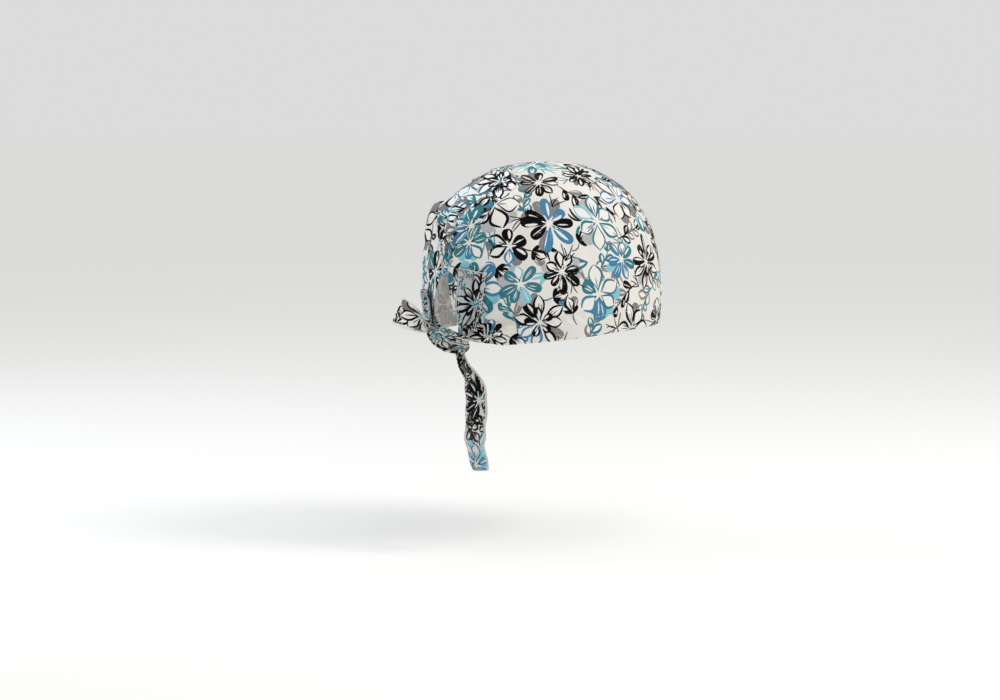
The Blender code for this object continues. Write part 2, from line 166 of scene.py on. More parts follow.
RIGHT_TIE = (
    Station(18.2, 77.0, 1.00, 0.0),
    Station(17.4, 82.5, 1.00, 0.0),
    Station(16.8, 88.0, 0.98, 0.0),
    Station(15.8, 94.0, 0.90, 0.0),
    Station(14.6, 99.0, 0.70, 0.04),
    Station(13.8, 101.4, 0.54, 0.12),
    Station(13.4, 103.4, 0.46, 0.29),
)
LEFT_TIE = (
    Station(-14.2, 87.0, 1.00, 0.0),
    Station(-13.8, 92.0, 0.96, 0.0),
    Station(-12.6, 96.5, 0.82, 0.0),
    Station(-11.0, 100.5, 0.58, 0.06),
    Station(-9.8, 102.3, 0.46, 0.18),
    Station(-8.8, 103.5, 0.40, 0.32),
)

KNOT_BANDS = {
    "wrap": (
        BandPoint(-0.41, 0.14, 0.22, 0.74, 0),
        BandPoint(-0.27, 0.25, 0.08, 0.90, 0),
        BandPoint(-0.09, 0.32, -0.02, 1.00, 0),
        BandPoint(0.07, 0.22, -0.18, 0.96, 0),
        BandPoint(0.16, 0.02, -0.28, 0.80, 0),
    ),
    "strand": (
        BandPoint(0.44, -0.26, -0.08, 0.66, 0),
        BandPoint(0.31, -0.02, 0.00, 0.78, 0),
        BandPoint(0.13, 0.12, 0.12, 0.88, 0),
        BandPoint(-0.06, 0.14, 0.20, 0.88, 0),
        BandPoint(-0.22, 0.06, 0.26, 0.74, 0),
    ),
    "loop": (
        BandPoint(0.45, -0.26, -0.22, 0.62, 0),
        BandPoint(0.27, -0.10, -0.28, 0.84, 0),
        BandPoint(0.06, 0.00, -0.26, 0.90, 0),
        BandPoint(-0.16, 0.02, -0.16, 0.90, 0),
        BandPoint(-0.34, -0.04, 0.02, 0.80, 0),
    ),
}
TAIL_SEAT = KNOT_BANDS["loop"][1]
SHORT_TAIL_SEAT = (-0.44, 0.23, 0.45)

HANGING_TAIL = (
    TailPoint(0.00, 0.00, 0.0, 0.34, 22),
    TailPoint(0.11, 0.18, 0.0, 0.46, 18),
    TailPoint(0.22, 0.55, 0.0, 0.70, 15),
    TailPoint(0.34, 0.71, 0.0, 0.96, 9),
    TailPoint(0.50, 0.71, 0.0, 1.00, 6),
    TailPoint(0.68, 0.68, 0.0, 1.00, 4),
    TailPoint(0.84, 0.77, 0.0, 1.00, 0),
    TailPoint(1.00, 1.00, 0.0, 1.00, -5),
)
SHORT_TAIL = (
    TailPoint(0.00, 0.00, 0.00, 0.48, 30),
    TailPoint(0.25, 0.25, 0.22, 0.66, 30),
    TailPoint(0.50, 0.50, 0.46, 0.84, 31),
    TailPoint(0.75, 0.75, 0.73, 0.96, 32),
    TailPoint(1.00, 1.00, 1.00, 1.00, 33),
)


def smooth_curve(rows, steps):
    """Catmull-Rom curve through the rows of a table, with steps pieces between two rows."""
    keys = np.asarray(rows, float)
    ends = np.vstack([2 * keys[0] - keys[1], keys, 2 * keys[-1] - keys[-2]])
    place = np.linspace(0, len(keys) - 1, (len(keys) - 1) * steps + 1)
    row = np.minimum(place.astype(int), len(keys) - 2)
    t = (place - row)[:, None]
    a, b, c, d = ends[row], ends[row + 1], ends[row + 2], ends[row + 3]
    return 0.5 * (2 * b + (c - a) * t + (2 * a - 5 * b + 4 * c - d) * t**2
                  + (3 * b - a - 3 * c + d) * t**3)


def unit(vectors):
    """Vectors divided by their length."""
    return vectors / np.maximum(np.linalg.norm(vectors, axis=-1, keepdims=True), 1e-12)


def direction(azimuth, polar):
    """Unit vectors from the head's centre: azimuth from the nape towards -X, polar down from +Z."""
    a, p = np.radians(azimuth), np.radians(polar)
    return np.stack([-np.sin(a) * np.sin(p), np.cos(a) * np.sin(p), np.cos(p) + 0 * a], axis=-1)


def smooth_step(x):
    """Even rise from 0 to 1 with level ends: 3x^2 - 2x^3, held past both."""
    x = np.clip(x, 0, 1)
    return x * x * (3 - 2 * x)


def bell(distance, reach):
    """Bell curve: 1 at no distance, e^-1 at reach, with the square of their ratio as its power."""
    return np.exp(-((distance / reach) ** 2))


def wave(distance, pitch, shift=0.0):
    """Sine wave with one crest in each pitch, moved on by shift, in radians."""
    return np.sin(distance / pitch * 2 * math.pi + shift)


def fold_lift(d, folds):
    """Sum of the folds: each is a bell over the skin, with its own spread across, above and below."""
    total = np.zeros(d.shape[:-1])
    for fold in folds:
        a, p, turn = (math.radians(x) for x in (fold.azimuth, fold.polar, fold.turn))
        middle = direction(fold.azimuth, fold.polar)
        east = np.array([-math.cos(a), -math.sin(a), 0])
        north = np.array([math.sin(a) * math.cos(p), -math.cos(a) * math.cos(p), math.sin(p)])
        across = HALF_LENGTH * (d @ (east * math.cos(turn) + north * math.sin(turn)))
        up = HALF_LENGTH * (d @ (north * math.cos(turn) - east * math.sin(turn)))
        reach = FOLD_REACH * np.where(up > 0, fold.above, fold.below)
        hump = np.exp(-((across / (fold.across * FOLD_REACH)) ** 2) - (up / reach) ** 2)
        total += FOLD_HEIGHT * fold.height * hump * (d @ middle > 0)
    return total


def skin_radius(d):
    """Distance of the cap's face from the head's centre: a superellipsoid, less the nape tuck, plus
    the folds."""
    rise = np.where(d[..., 2] > 0, CROWN_RISE, SIDE_CURVE)
    plan = np.hypot(d[..., 0] / HALF_WIDTH, d[..., 1] / HALF_LENGTH)
    radius = (plan**ROUNDNESS + np.abs(d[..., 2] / rise) ** ROUNDNESS) ** (-1 / ROUNDNESS)
    azimuth = np.degrees(np.arctan2(-d[..., 0], d[..., 1]))
    low = np.clip(-d[..., 2] / NAPE_DROP, 0, 1) ** 2
    return radius - NAPE_TUCK * low * bell(azimuth, NAPE_SPREAD) + fold_lift(d, FOLDS)


def skin_normal(d):
    """Outward unit normal of the skin, the gradient of distance less skin radius."""
    step = 0.0002
    place = d * skin_radius(d)[..., None]
    slope = []
    for axis in np.eye(3):
        ahead, behind = place + step * axis, place - step * axis
        rise = [np.linalg.norm(x, axis=-1) - skin_radius(unit(x)) for x in (ahead, behind)]
        slope.append(rise[0] - rise[1])
    return unit(np.stack(slope, axis=-1))


CENTRE = np.array([0, 0, WIDEST_LEVEL])


def on_skin(d, lift=0.0):
    """Points of the skin in the part's frame, lifted off it by lift."""
    return CENTRE + d * skin_radius(d)[..., None] + skin_normal(d) * np.asarray(lift)[..., None]


def rim_height(azimuth):
    """Height of the cap's lower edge, between the rows of the rim's table."""
    angles, shares = np.array(RIM, float).T
    return RIM_LIFT * np.interp(np.abs(azimuth), angles, shares)


def rim_direction(azimuth):
    """Directions in which the skin reaches the rim's height, found by repeated correction."""
    drop = WIDEST_LEVEL - rim_height(azimuth)
    polar = np.full(np.shape(azimuth), 100.0)
    for _ in range(12):
        radius = skin_radius(direction(azimuth, polar))
        polar = 90 + np.degrees(np.arcsin(np.clip(drop / radius, -1, 1)))
    return direction(azimuth, polar)


def between(start, end, share):
    """Directions on the great circles from start to end, for each share of the way."""
    angle = np.arccos(np.clip((start * end).sum(-1), -1, 1))[..., None]
    angle = np.maximum(angle, 1e-9)
    return unit((np.sin((1 - share) * angle) * start + np.sin(share * angle) * end) / np.sin(angle))


def seam_curves(steps):
    """Directions along the right and left edges, nape to crown, and the rim azimuth of each."""
    rows = smooth_curve(SEAMS, steps)
    return direction(rows[:, 0], rows[:, 1]), direction(rows[:, 2], rows[:, 3]), rows[:, 4]


# Soft creases that the CAD wall leaves out, in the same columns as the folds
CREASES = (
    Fold(22.0, 99.0, 0.10, 1.60, 0.07, 0.07, 34),
    Fold(24.0, 93.0, -0.08, 1.50, 0.08, 0.08, 44),
    Fold(40.0, 101.0, 0.08, 1.20, 0.09, 0.09, 14),
    Fold(44.0, 95.0, -0.06, 1.40, 0.12, 0.12, 24),
    Fold(36.0, 88.0, 0.06, 1.30, 0.14, 0.14, 42),
    Fold(58.0, 97.0, 0.05, 1.60, 0.14, 0.12, 6),
    Fold(30.0, 70.0, 0.07, 0.20, 1.30, 1.40, -24),
    Fold(38.0, 60.0, -0.07, 0.24, 1.20, 1.40, -30),
    Fold(48.0, 52.0, 0.06, 0.28, 1.30, 1.30, -40),
    Fold(66.0, 78.0, 0.06, 0.30, 1.60, 1.20, -8),
    Fold(76.0, 70.0, -0.06, 0.34, 1.50, 1.40, 4),
    Fold(96.0, 88.0, 0.05, 0.30, 1.50, 1.00, 8),
    Fold(110.0, 74.0, -0.06, 0.40, 1.60, 1.40, -6),
    Fold(134.0, 86.0, 0.05, 0.30, 1.40, 1.00, 10),
    Fold(150.0, 70.0, -0.05, 0.40, 1.60, 1.30, -4),
    Fold(180.0, 84.0, 0.05, 0.34, 1.50, 1.20, 0),
    Fold(-24.0, 99.0, 0.10, 1.50, 0.07, 0.07, -34),
    Fold(-26.0, 92.0, -0.08, 1.40, 0.08, 0.08, -46),
    Fold(-40.0, 100.0, 0.08, 1.20, 0.09, 0.09, -14),
    Fold(-36.0, 80.0, 0.07, 0.20, 1.30, 1.40, 22),
    Fold(-46.0, 66.0, -0.07, 0.26, 1.20, 1.40, 30),
    Fold(-70.0, 76.0, 0.06, 0.30, 1.60, 1.20, 8),
    Fold(-92.0, 84.0, -0.06, 0.30, 1.50, 1.00, -8),
    Fold(-120.0, 72.0, 0.05, 0.40, 1.60, 1.40, 6),
    Fold(-146.0, 84.0, -0.05, 0.30, 1.40, 1.00, -10),
)


def ripple(points, count, shortest, longest, seed):
    """Slow unevenness of hand-sewn cloth: the mean of sine waves in seeded directions, each with a
    length between shortest and longest."""
    random = np.random.default_rng(seed)
    total = np.zeros(points.shape[:-1])
    for _ in range(count):
        length = random.uniform(shortest, longest)
        way = unit(random.normal(size=3))
        total += np.sin(points @ way * (2 * math.pi / length) + random.uniform(0, 2 * math.pi))
    return total / math.sqrt(count)


def uneven(d):
    """Lift of the front cloth's creases and waves, which the straps on it follow too."""
    return 2.1 * fold_lift(d, CREASES) + 0.00050 * ripple(on_skin(d), 9, 0.022, 0.060, 3)


def path_length(points, axis=0):
    """Distance along each line of a grid, from its start."""
    step = np.linalg.norm(np.diff(points, axis=axis), axis=-1)
    start = np.zeros_like(np.take(step, [0], axis=axis))
    return np.concatenate([start, np.cumsum(step, axis=axis)], axis=axis)


# Meshes
Cloth = namedtuple("Cloth", "piece points faces normals side flat grid")


def quads(grid):
    """Corner numbers of the faces of a grid of vertex numbers."""
    corners = [grid[..., :-1, :-1], grid[..., 1:, :-1], grid[..., 1:, 1:], grid[..., :-1, 1:]]
    return np.stack(corners, axis=-1).reshape(-1, 4)


def face_normals(points, faces):
    """Unit normal of each face, from the cross product of its diagonals."""
    a, b, c, d = (points[faces[:, k]] for k in range(4))
    return unit(np.cross(c - a, d - b))


def turned_out(points, faces, ways):
    """The faces, or the same turned over where on the whole they look against the ways out."""
    return faces if (face_normals(points, faces) * ways).sum() > 0 else faces[:, ::-1]


def add_object(name, data):
    """Object at the origin that holds a mesh, a camera or a light."""
    thing = bpy.data.objects.new(name, data)
    bpy.context.scene.collection.objects.link(thing)
    return thing


def make_mesh(name, points, faces, material, sharp=55):
    """Smooth mesh of four-cornered faces, with sharp edges where they meet at over sharp degrees."""
    mesh = bpy.data.meshes.new(name)
    mesh.vertices.add(len(points))
    mesh.vertices.foreach_set("co", points.astype(np.float32).ravel())
    mesh.loops.add(faces.size)
    mesh.loops.foreach_set("vertex_index", faces.astype(np.int32).ravel())
    mesh.polygons.add(len(faces))
    mesh.polygons.foreach_set("loop_start", np.arange(0, faces.size, 4, dtype=np.int32))
    mesh.update(calc_edges=True)
    mesh.shade_smooth()
    mesh.set_sharp_from_angle(angle=math.radians(sharp))
    mesh.materials.append(material)
    return add_object(name, mesh)


def cloth_wall(name, outer, inner, flat, material):
    """Closed wall between two grids, with a rounded edge: half way round each border a row of points
    stands out by half the wall. flat is each grid point's place on the uncreased cloth, in mm."""
    rows, columns = outer.shape[:2]
    count = rows * columns
    grid = np.arange(count).reshape(rows, columns)
    ring = np.concatenate([grid[0, :-1], grid[:-1, -1], grid[-1, :0:-1], grid[:0:-1, 0]])
    inward = np.concatenate([grid[1, :-1], grid[:-1, -2], grid[-2, :0:-1], grid[:0:-1, 1]])
    face, back = outer.reshape(-1, 3), inner.reshape(-1, 3)
    out = unit(face[ring] - face[inward])
    wall = np.linalg.norm(face[ring] - back[ring], axis=-1, keepdims=True)
    middle = (face[ring] + back[ring]) / 2 + out * wall / 2
    points = np.vstack([face, back, middle])
    rim = np.arange(len(ring))
    after = np.roll(rim, -1)
    sheets = [quads(grid), quads(grid)[:, ::-1] + count,
              np.stack([ring, ring[after], 2 * count + after, 2 * count + rim], axis=-1),
              np.stack([2 * count + rim, 2 * count + after, count + ring[after], count + ring], axis=-1)]
    if (face_normals(points, sheets[0]) * (face - back)[sheets[0][:, 0]]).sum() < 0:
        sheets[0], sheets[1] = sheets[0][:, ::-1], sheets[1][:, ::-1]
    if (face_normals(points, sheets[2]) * out).sum() < 0:
        sheets[2], sheets[3] = sheets[2][:, ::-1], sheets[3][:, ::-1]
    faces = np.vstack(sheets)
    side = np.repeat([0, 1, 0, 2], [len(x) for x in sheets])
    places = np.vstack([flat.reshape(-1, 2), flat.reshape(-1, 2) * [-1, 1], flat.reshape(-1, 2)[ring]])
    piece = make_mesh(name, points, faces, material)
    return Cloth(piece, points, faces, face_normals(points, faces), side, places, (outer, inner))


# The print. Lengths in it are millimetres on the cloth. A stroke has its line, half width, ink, the
# share of bristles that ran dry, how blunt its ends are and how far its belly lies off the middle.
Stroke = namedtuple("Stroke", "line width ink dry blunt skew")
LAYERS = 8  # strokes that a face can carry, the last one on top
BLACK, CHARCOAL, GREY, TEAL, BLUE, AQUA, GROUND, MIST = range(8)
# A flower's inks: most petals, some petals, the pale petals behind, and the dab in the middle
Scheme = namedtuple("Scheme", "main second shadow heart")
SCHEMES = (
    Scheme(BLACK, CHARCOAL, GREY, AQUA),
    Scheme(TEAL, BLUE, AQUA, BLACK),
    Scheme(BLACK, BLUE, GREY, TEAL),
    Scheme(BLACK, BLACK, MIST, TEAL),
    Scheme(TEAL, AQUA, MIST, BLACK),
    Scheme(BLACK, TEAL, GREY, AQUA),
)


def heading(angle, length=1.0):
    """Step of a given length at an angle from the motif's first axis."""
    return length * np.array([math.cos(angle), math.sin(angle)])


def bow(start, end, sag, lean=1.0, count=12):
    """Line from start to end that bows to its left by sag, most where share ** lean is one half."""
    t = np.linspace(0, 1, count)[:, None]
    run = end - start
    side = np.array([-run[1], run[0]]) / (math.hypot(*run) + 1e-9)
    return start + run * t + side * sag * np.sin(math.pi * t**lean)


def dab(place, size, ink):
    """Round touch of the brush's tip."""
    return Stroke(bow(place - [0.3 * size, 0], place + [0.3 * size, 0], 0, count=3), size, ink, 0, 0.25, 1)


def petal(random, base, tip, half, ink, manner):
    """Petal of a given half width. full is one loaded stroke with slivers that the brush missed, lit
    has one broad bare sliver off its middle, open is two bowed strokes of a heavy brush, and hatched
    adds quick streaks from its foot to the open one."""
    run = tip - base
    side = np.array([-run[1], run[0]]) / math.hypot(*run)
    if manner in ("full", "lit"):
        strokes = [Stroke(bow(base, tip, random.normal(0, 0.10) * half), half, ink,
                          random.uniform(0.0, 0.35), 0.42, 1.6)]
        cuts = [(0.45, 0.26)] if manner == "lit" else [(random.uniform(-0.7, 0.7), 0.09)] * 2
        for off, share in cuts:
            off = off * half * random.choice([-1, 1]) * random.uniform(0.6, 1.1)
            first, last = random.uniform(0.12, 0.35), random.uniform(0.68, 0.90)
            line = bow(base + run * first + side * off * 0.5, base + run * last + side * off, 0.15 * off)
            strokes.append(Stroke(line, max(share * half, 0.30), GROUND, 0.2, 0.55, 1.2))
        return strokes
    strokes = [Stroke(bow(base, tip, 0), half * 0.93, GROUND, 0.0, 0.42, 1.5)]
    for hand in (-1, 1):
        end = tip + random.normal(0, 0.09, 2) * half
        line = bow(base, end, hand * half * random.uniform(0.85, 1.10), 1.35, 14)
        strokes.append(Stroke(line, random.uniform(0.62, 1.20), ink, random.uniform(0, 0.25), 0.42, 1.15))
    streaks = 3 if manner == "hatched" else int(random.random() < 0.5)
    for k in range(streaks):
        off = (k - (streaks - 1) / 2) * 0.55 * half + random.normal(0, 0.08) * half
        first, last = random.uniform(0.05, 0.2), random.uniform(0.45, 0.75)
        line = bow(base + run * first + side * off * 0.4, base + run * last + side * off, 0)
        strokes.append(Stroke(line, random.uniform(0.32, 0.62), ink, 0.15, 0.5, 0.8))
    return strokes


# Ways to build a flower: fewest and most petals, their breadth, how they are painted, and how many
# short petals lie over them
Build = namedtuple("Build", "fewest most breadth manners inner")
BUILDS = (
    Build(7, 8, 1.62, ("full", "full", "full", "lit"), 0),
    Build(7, 9, 1.55, ("full", "lit", "hatched", "full"), 0),
    Build(6, 8, 1.66, ("full", "lit", "full", "open"), 0),
    Build(5, 7, 1.62, ("open", "hatched", "open", "open"), 0),
    Build(8, 10, 1.42, ("open", "lit", "open", "hatched"), 5),
)


def blossom(random, radius):
    """Open flower: a few pale petals shifted behind, then the bold ones, round a dab of another colour
    with bare rays, short stamens and dots."""
    scheme = SCHEMES[random.integers(len(SCHEMES))]
    build = BUILDS[random.integers(len(BUILDS))]
    count = int(random.integers(build.fewest, build.most + 1))
    turn = random.uniform(0, 2 * math.pi)
    step = 2 * math.pi / count
    half = build.breadth * radius / count
    strokes = []
    for k in random.permutation(count)[: int(random.integers(2, 5))]:
        angle = turn + step * (k + 0.45)
        tip = heading(angle, radius * random.uniform(0.86, 1.04))
        strokes += petal(random, heading(angle, radius * 0.2), tip, half * 0.95, scheme.shadow, "full")[:1]
    for k in random.permutation(count):
        angle = turn + step * k + random.normal(0, 0.08)
        tip = heading(angle + random.normal(0, 0.08), radius * random.uniform(0.74, 1.02))
        ink = scheme.main if random.random() < 0.74 else scheme.second
        strokes += petal(random, heading(angle, radius * 0.12), tip, half * random.uniform(0.80, 1.05), ink,
                         build.manners[random.integers(4)])
    for k in range(build.inner):
        angle = turn + 2 * math.pi * (k + 0.3) / build.inner
        tip = heading(angle, radius * random.uniform(0.46, 0.58))
        strokes += petal(random, heading(angle, radius * 0.08), tip, half * 0.8, scheme.main, "lit")
    for k in range(count):
        angle = turn + step * (k + 0.5) + random.normal(0, 0.12)
        start, end = heading(angle, radius * 0.06), heading(angle, radius * random.uniform(0.24, 0.36))
        strokes.append(Stroke(bow(start, end, 0, count=3), 0.50, GROUND, 0, 0.4, 1.2))
    strokes.append(dab(np.zeros(2), radius * 0.125, scheme.heart))
    for k in range(count):
        angle = turn + step * (k + 0.2) + random.normal(0, 0.12)
        start, end = heading(angle, radius * 0.08), heading(angle, radius * random.uniform(0.18, 0.26))
        strokes.append(Stroke(bow(start, end, 0, count=3), 0.40, scheme.heart, 0, 0.3, 1.4))
        if k % 2:
            strokes.append(dab(heading(angle, radius * random.uniform(0.30, 0.38)), 0.55, BLACK))
    return strokes


def spray(random, radius):
    """Leafy stem: a bowed line with broad leaves set in turn on its two sides and one at its end."""
    ink = (BLACK, TEAL, BLACK, CHARCOAL, TEAL, BLACK)[random.integers(6)]
    manners = (("full", "lit"), ("open", "hatched"), ("lit", "hatched"), ("open", "open"))
    manners = manners[random.integers(4)]
    stem = bow(np.array([0.0, -radius]), np.array([0.0, radius * 0.6]), random.uniform(-0.25, 0.25) * radius,
               count=16)
    strokes = [Stroke(stem, 0.62, ink, 0.1, 0.25, 1.0)]
    spots = [(int(place), 1 if k % 2 else -1) for k, place in enumerate(np.linspace(3, 14, 6))]
    for place, hand in [(14, 0)] + spots:
        along = stem[place] - stem[place - 2]
        lean = math.atan2(along[1], along[0]) + hand * random.uniform(0.5, 0.85)
        size = radius * random.uniform(0.50, 0.66) * (1.1 - 0.02 * place)
        tone = ink if random.random() < 0.8 else GREY
        tip = stem[place] + heading(lean, size)
        strokes += petal(random, stem[place], tip, size * random.uniform(0.20, 0.29), tone,
                         manners[random.integers(2)])
    return strokes


def bud(random, radius):
    """Closed flower on a stalk: upright petals over each other in a cup of two leaves."""
    scheme = SCHEMES[random.integers(len(SCHEMES))]
    foot, cup = np.array([0.0, -radius]), np.array([0.0, -radius * 0.2])
    strokes = [Stroke(bow(foot, cup, random.uniform(-0.2, 0.2) * radius), 0.6, scheme.second, 0.1, 0.25, 1)]
    for lean, ink, manner in ((-0.50, scheme.shadow, "full"), (0.50, scheme.second, "lit"),
                              (0.0, scheme.main, "hatched")):
        tip = cup + heading(math.pi / 2 + lean, radius * random.uniform(1.0, 1.2))
        strokes += petal(random, cup, tip, radius * 0.30, ink, manner)
    for lean in (-1.0, 1.0):
        strokes += petal(random, cup, cup + heading(math.pi / 2 + lean, radius * 0.6), radius * 0.13,
                         scheme.main, "full")[:1]
    return strokes


def berries(random, radius):
    """Sprig of small round fruits on thin stalks."""
    ink = (BLACK, BLACK, TEAL)[random.integers(3)]
    root = np.array([0.0, -radius])
    strokes = []
    for lean in np.linspace(-0.6, 0.6, int(random.integers(3, 5))):
        tip = root + heading(math.pi / 2 + lean + random.normal(0, 0.08), radius * random.uniform(1.1, 1.7))
        strokes.append(Stroke(bow(root, tip, random.normal(0, 0.10) * radius), 0.48, ink, 0.05, 0.25, 1.0))
        strokes.append(dab(tip, 1.15, ink))
    return strokes


def blades(random, radius):
    """A few quick grass strokes from one root."""
    ink = (BLACK, CHARCOAL, GREY, TEAL, AQUA)[random.integers(5)]
    root = np.array([0.0, -radius])
    strokes = []
    for lean in np.linspace(-0.45, 0.45, int(random.integers(3, 5))):
        tip = root + heading(math.pi / 2 + lean + random.normal(0, 0.1), radius * random.uniform(1.4, 2.1))
        line = bow(root, tip, random.normal(0, 0.16) * radius)
        strokes.append(Stroke(line, random.uniform(0.7, 1.3), ink, random.uniform(0.05, 0.3), 0.45, 0.8))
    return strokes


def specks(random, radius):
    """Dots in a short bowed row."""
    ink = (TEAL, BLACK, BLACK, BLUE)[random.integers(4)]
    row = bow(np.array([-radius, 0.0]), np.array([radius, 0.0]), random.uniform(-0.5, 0.5) * radius,
              count=int(random.integers(3, 6)))
    return [dab(place, random.uniform(0.5, 0.85), ink) for place in row]


# Motifs from the largest to the smallest: how far each reaches, how close two may come as a share of
# the sum of their reaches, and whether it is laid under the flowers
Motif = namedtuple("Motif", "draw reach closeness under")
PANEL_MOTIFS = (
    Motif(blossom, 22.0, 0.86, False),
    Motif(blossom, 17.0, 0.82, False),
    Motif(spray, 19.0, 0.58, True),
    Motif(bud, 12.0, 0.64, True),
    Motif(spray, 14.0, 0.60, True),
    Motif(berries, 8.5, 0.66, False),
    Motif(blades, 8.0, 0.62, True),
    Motif(specks, 4.0, 0.85, False),
)
# A strap shows scraps of the same print, so its motifs may lie closer
STRAP_MOTIFS = (
    Motif(blossom, 21.0, 0.80, False),
    Motif(spray, 18.0, 0.40, True),
    Motif(bud, 12.0, 0.50, True),
    Motif(blades, 8.0, 0.46, True),
    Motif(specks, 3.5, 0.80, False),
)


def stroke_place(places, line):
    """Where places lie on a stroke: the share along its line, running on past both ends, and the
    signed distance across it, from the nearest of its straight pieces."""
    a, run = line[:-1], np.diff(line, axis=0)
    size = np.maximum((run**2).sum(-1), 1e-9)
    off = places[:, None] - a[None]
    t = (off * run).sum(-1) / size
    held = np.clip(t, 0, 1)
    gap = off - held[..., None] * run
    nearest = (gap**2).sum(-1).argmin(axis=1)
    pick = np.arange(len(places)), nearest
    t = t[pick]
    t = np.where((nearest == 0) & (t < 0), t, np.clip(t, 0, None))
    t = np.where((nearest == len(a) - 1) & (t > 1), t, np.clip(t, None, 1))
    along = (nearest + t) / len(a)
    o, r = off[pick], run[nearest]
    cross = r[:, 0] * o[:, 1] - r[:, 1] * o[:, 0]
    straight = np.abs(cross) / np.sqrt(size[nearest])
    past = (along < 0) | (along > 1)
    away = np.where(past, straight, np.sqrt((gap[pick] ** 2).sum(-1)))
    return along, np.where(cross < 0, -away, away)


EDGE_ROOM = 0.45  # mm past a stroke that its rough edge may reach
FACE_SIZE = 5  # mm, more than any face measures across
FACE_SPAN = 0.6  # more of a stroke than a face covers, unless it lies inside a bend


def lay_stroke(sheet, chosen, along, across, stroke):
    """Adds a stroke on top of the layers of each chosen face that it touches. Its brush value holds
    the ink's number, with the dryness as its fraction."""
    low, high = along.min(1), along.max(1)
    share = np.clip(along.mean(1), 0.02, 0.98) ** stroke.skew
    half = stroke.width * (4 * share * (1 - share)) ** stroke.blunt + EDGE_ROOM
    nearest, furthest = np.abs(across).min(1), np.abs(across).max(1)
    crossed = (across.min(1) < 0) & (across.max(1) > 0)
    touched = (high > 0) & (low < 1) & ((nearest < half) | crossed) & (furthest < half + FACE_SIZE)
    touched &= high - low < FACE_SPAN
    pick = chosen[touched]
    sheet["stroke"][1:, pick] = sheet["stroke"][:-1, pick]
    sheet["brush"][1:, pick] = sheet["brush"][:-1, pick]
    width = np.full(along[touched].shape, stroke.width)
    sheet["stroke"][0, pick] = np.stack([along[touched], across[touched], width], axis=-1)
    sheet["brush"][0, pick] = (stroke.ink + 0.98 * stroke.dry, stroke.blunt, stroke.skew)


def scatter(random, motifs, area, draw_place, distance):
    """Seeds for the motifs: random places, kept where they are clear of all the earlier ones."""
    seeds = []
    for motif in motifs:
        for _ in range(int(7 * area / motif.reach**2) + 8):
            place = draw_place(random)
            if all(distance(place, other) > (motif.reach + size) * motif.closeness
                   for other, size in ((s[0], s[1].reach) for s in seeds)):
                seeds.append((place, motif))
    return sorted(seeds, key=lambda s: not s[1].under)


def room(motif):
    """Distance from its seed past which no stroke of a motif reaches."""
    return motif.reach * 1.35 + 2


def store(mesh, name, kind, domain, values):
    """Writes an attribute with one value for each corner or face."""
    layer = mesh.attributes.new(name, kind, domain)
    layer.data.foreach_set("value" if kind == "FLOAT" else "vector", values.astype(np.float32).ravel())


def print_cloth(cloth, seed, wrapped=False, edges=()):
    """Prints a piece. On the shell of the front a motif is laid on the plane that touches the cloth at
    its seed. On a gathered piece or a strap (wrapped) it is laid on the unrolled cloth, each side with
    its own motifs. edges are lines of the flat cloth along which it is folded. On each of them a bare stripe
    of ground is painted as a highlight, for the light that the fold catches."""
    random = np.random.default_rng(seed)
    faces, points = cloth.faces, cloth.points / MM
    middle = points[faces].mean(axis=1)
    sheet = {"stroke": np.zeros((LAYERS, len(faces), 4, 3), np.float32),
             "brush": np.zeros((LAYERS, len(faces), 3), np.float32)}
    sheet["stroke"][..., 0] = -9  # far before its start, so that an empty layer paints nothing
    if wrapped:
        low, high = cloth.flat.min(0), cloth.flat.max(0)
        centre = cloth.flat[faces].mean(axis=1)
        for side in (0, 1):
            spot = scatter(random, STRAP_MOTIFS, np.prod(high - low), lambda r: r.uniform(low, high),
                           lambda a, b: math.hypot(*(a - b)))
            for place, motif in spot:
                strokes = motif.draw(random, motif.reach)
                turn = random.uniform(0, 2 * math.pi)
                chosen = np.nonzero((cloth.side == side)
                                    & (np.abs(centre - place).max(1) < room(motif)))[0]
                lay_motif(sheet, faces, chosen, cloth.flat - place, turn, strokes)
        # Painted highlight: a bare stripe of ground along each fold line, for the light that the fold catches
        for line in edges:
            lay_motif(sheet, faces, np.nonzero(cloth.side < 2)[0], cloth.flat, 0.0,
                      [Stroke(np.array(line, float), 0.42, GROUND, 0.25, 0.03, 1.0)])
    else:
        shell = np.nonzero(cloth.side == 0)[0]
        outwards = unit(middle * MM - CENTRE)
        size = np.linalg.norm(np.cross(points[faces[shell, 2]] - points[faces[shell, 0]],
                                       points[faces[shell, 3]] - points[faces[shell, 1]]), axis=-1) / 2
        chance = np.cumsum(size) / size.sum()
        spot = scatter(random, PANEL_MOTIFS, size.sum(),
                       lambda r: int(shell[min(np.searchsorted(chance, r.random()), len(shell) - 1)]),
                       lambda a, b: np.linalg.norm(middle[a] - middle[b]))
        for place, motif in spot:
            strokes = motif.draw(random, motif.reach)
            turn = random.uniform(0, 2 * math.pi)
            normal = skin_normal(outwards[place])
            away = np.linalg.norm(middle - middle[place], axis=-1)
            facing = outwards @ outwards[place] > 0.5
            chosen = np.nonzero((away < room(motif)) & facing)[0]
            east = unit(np.cross([0.0, 0.0, 1.0] if abs(normal[2]) < 0.9 else [0.0, 1.0, 0.0], normal))
            plane = np.stack([east, np.cross(normal, east)], axis=-1)
            lay_motif(sheet, faces, chosen, (points - middle[place]) @ plane, turn, strokes)
    mesh = cloth.piece.data
    for k in range(LAYERS):
        store(mesh, "stroke_%d" % k, "FLOAT_VECTOR", "CORNER", sheet["stroke"][k])
        store(mesh, "brush_%d" % k, "FLOAT_VECTOR", "FACE", sheet["brush"][k])
    store(mesh, "reverse", "FLOAT", "FACE", (cloth.side == 1) & (not wrapped))
    weave = mesh.uv_layers.new(name="weave")
    weave.data.foreach_set("uv", cloth.flat[faces].astype(np.float32).ravel())


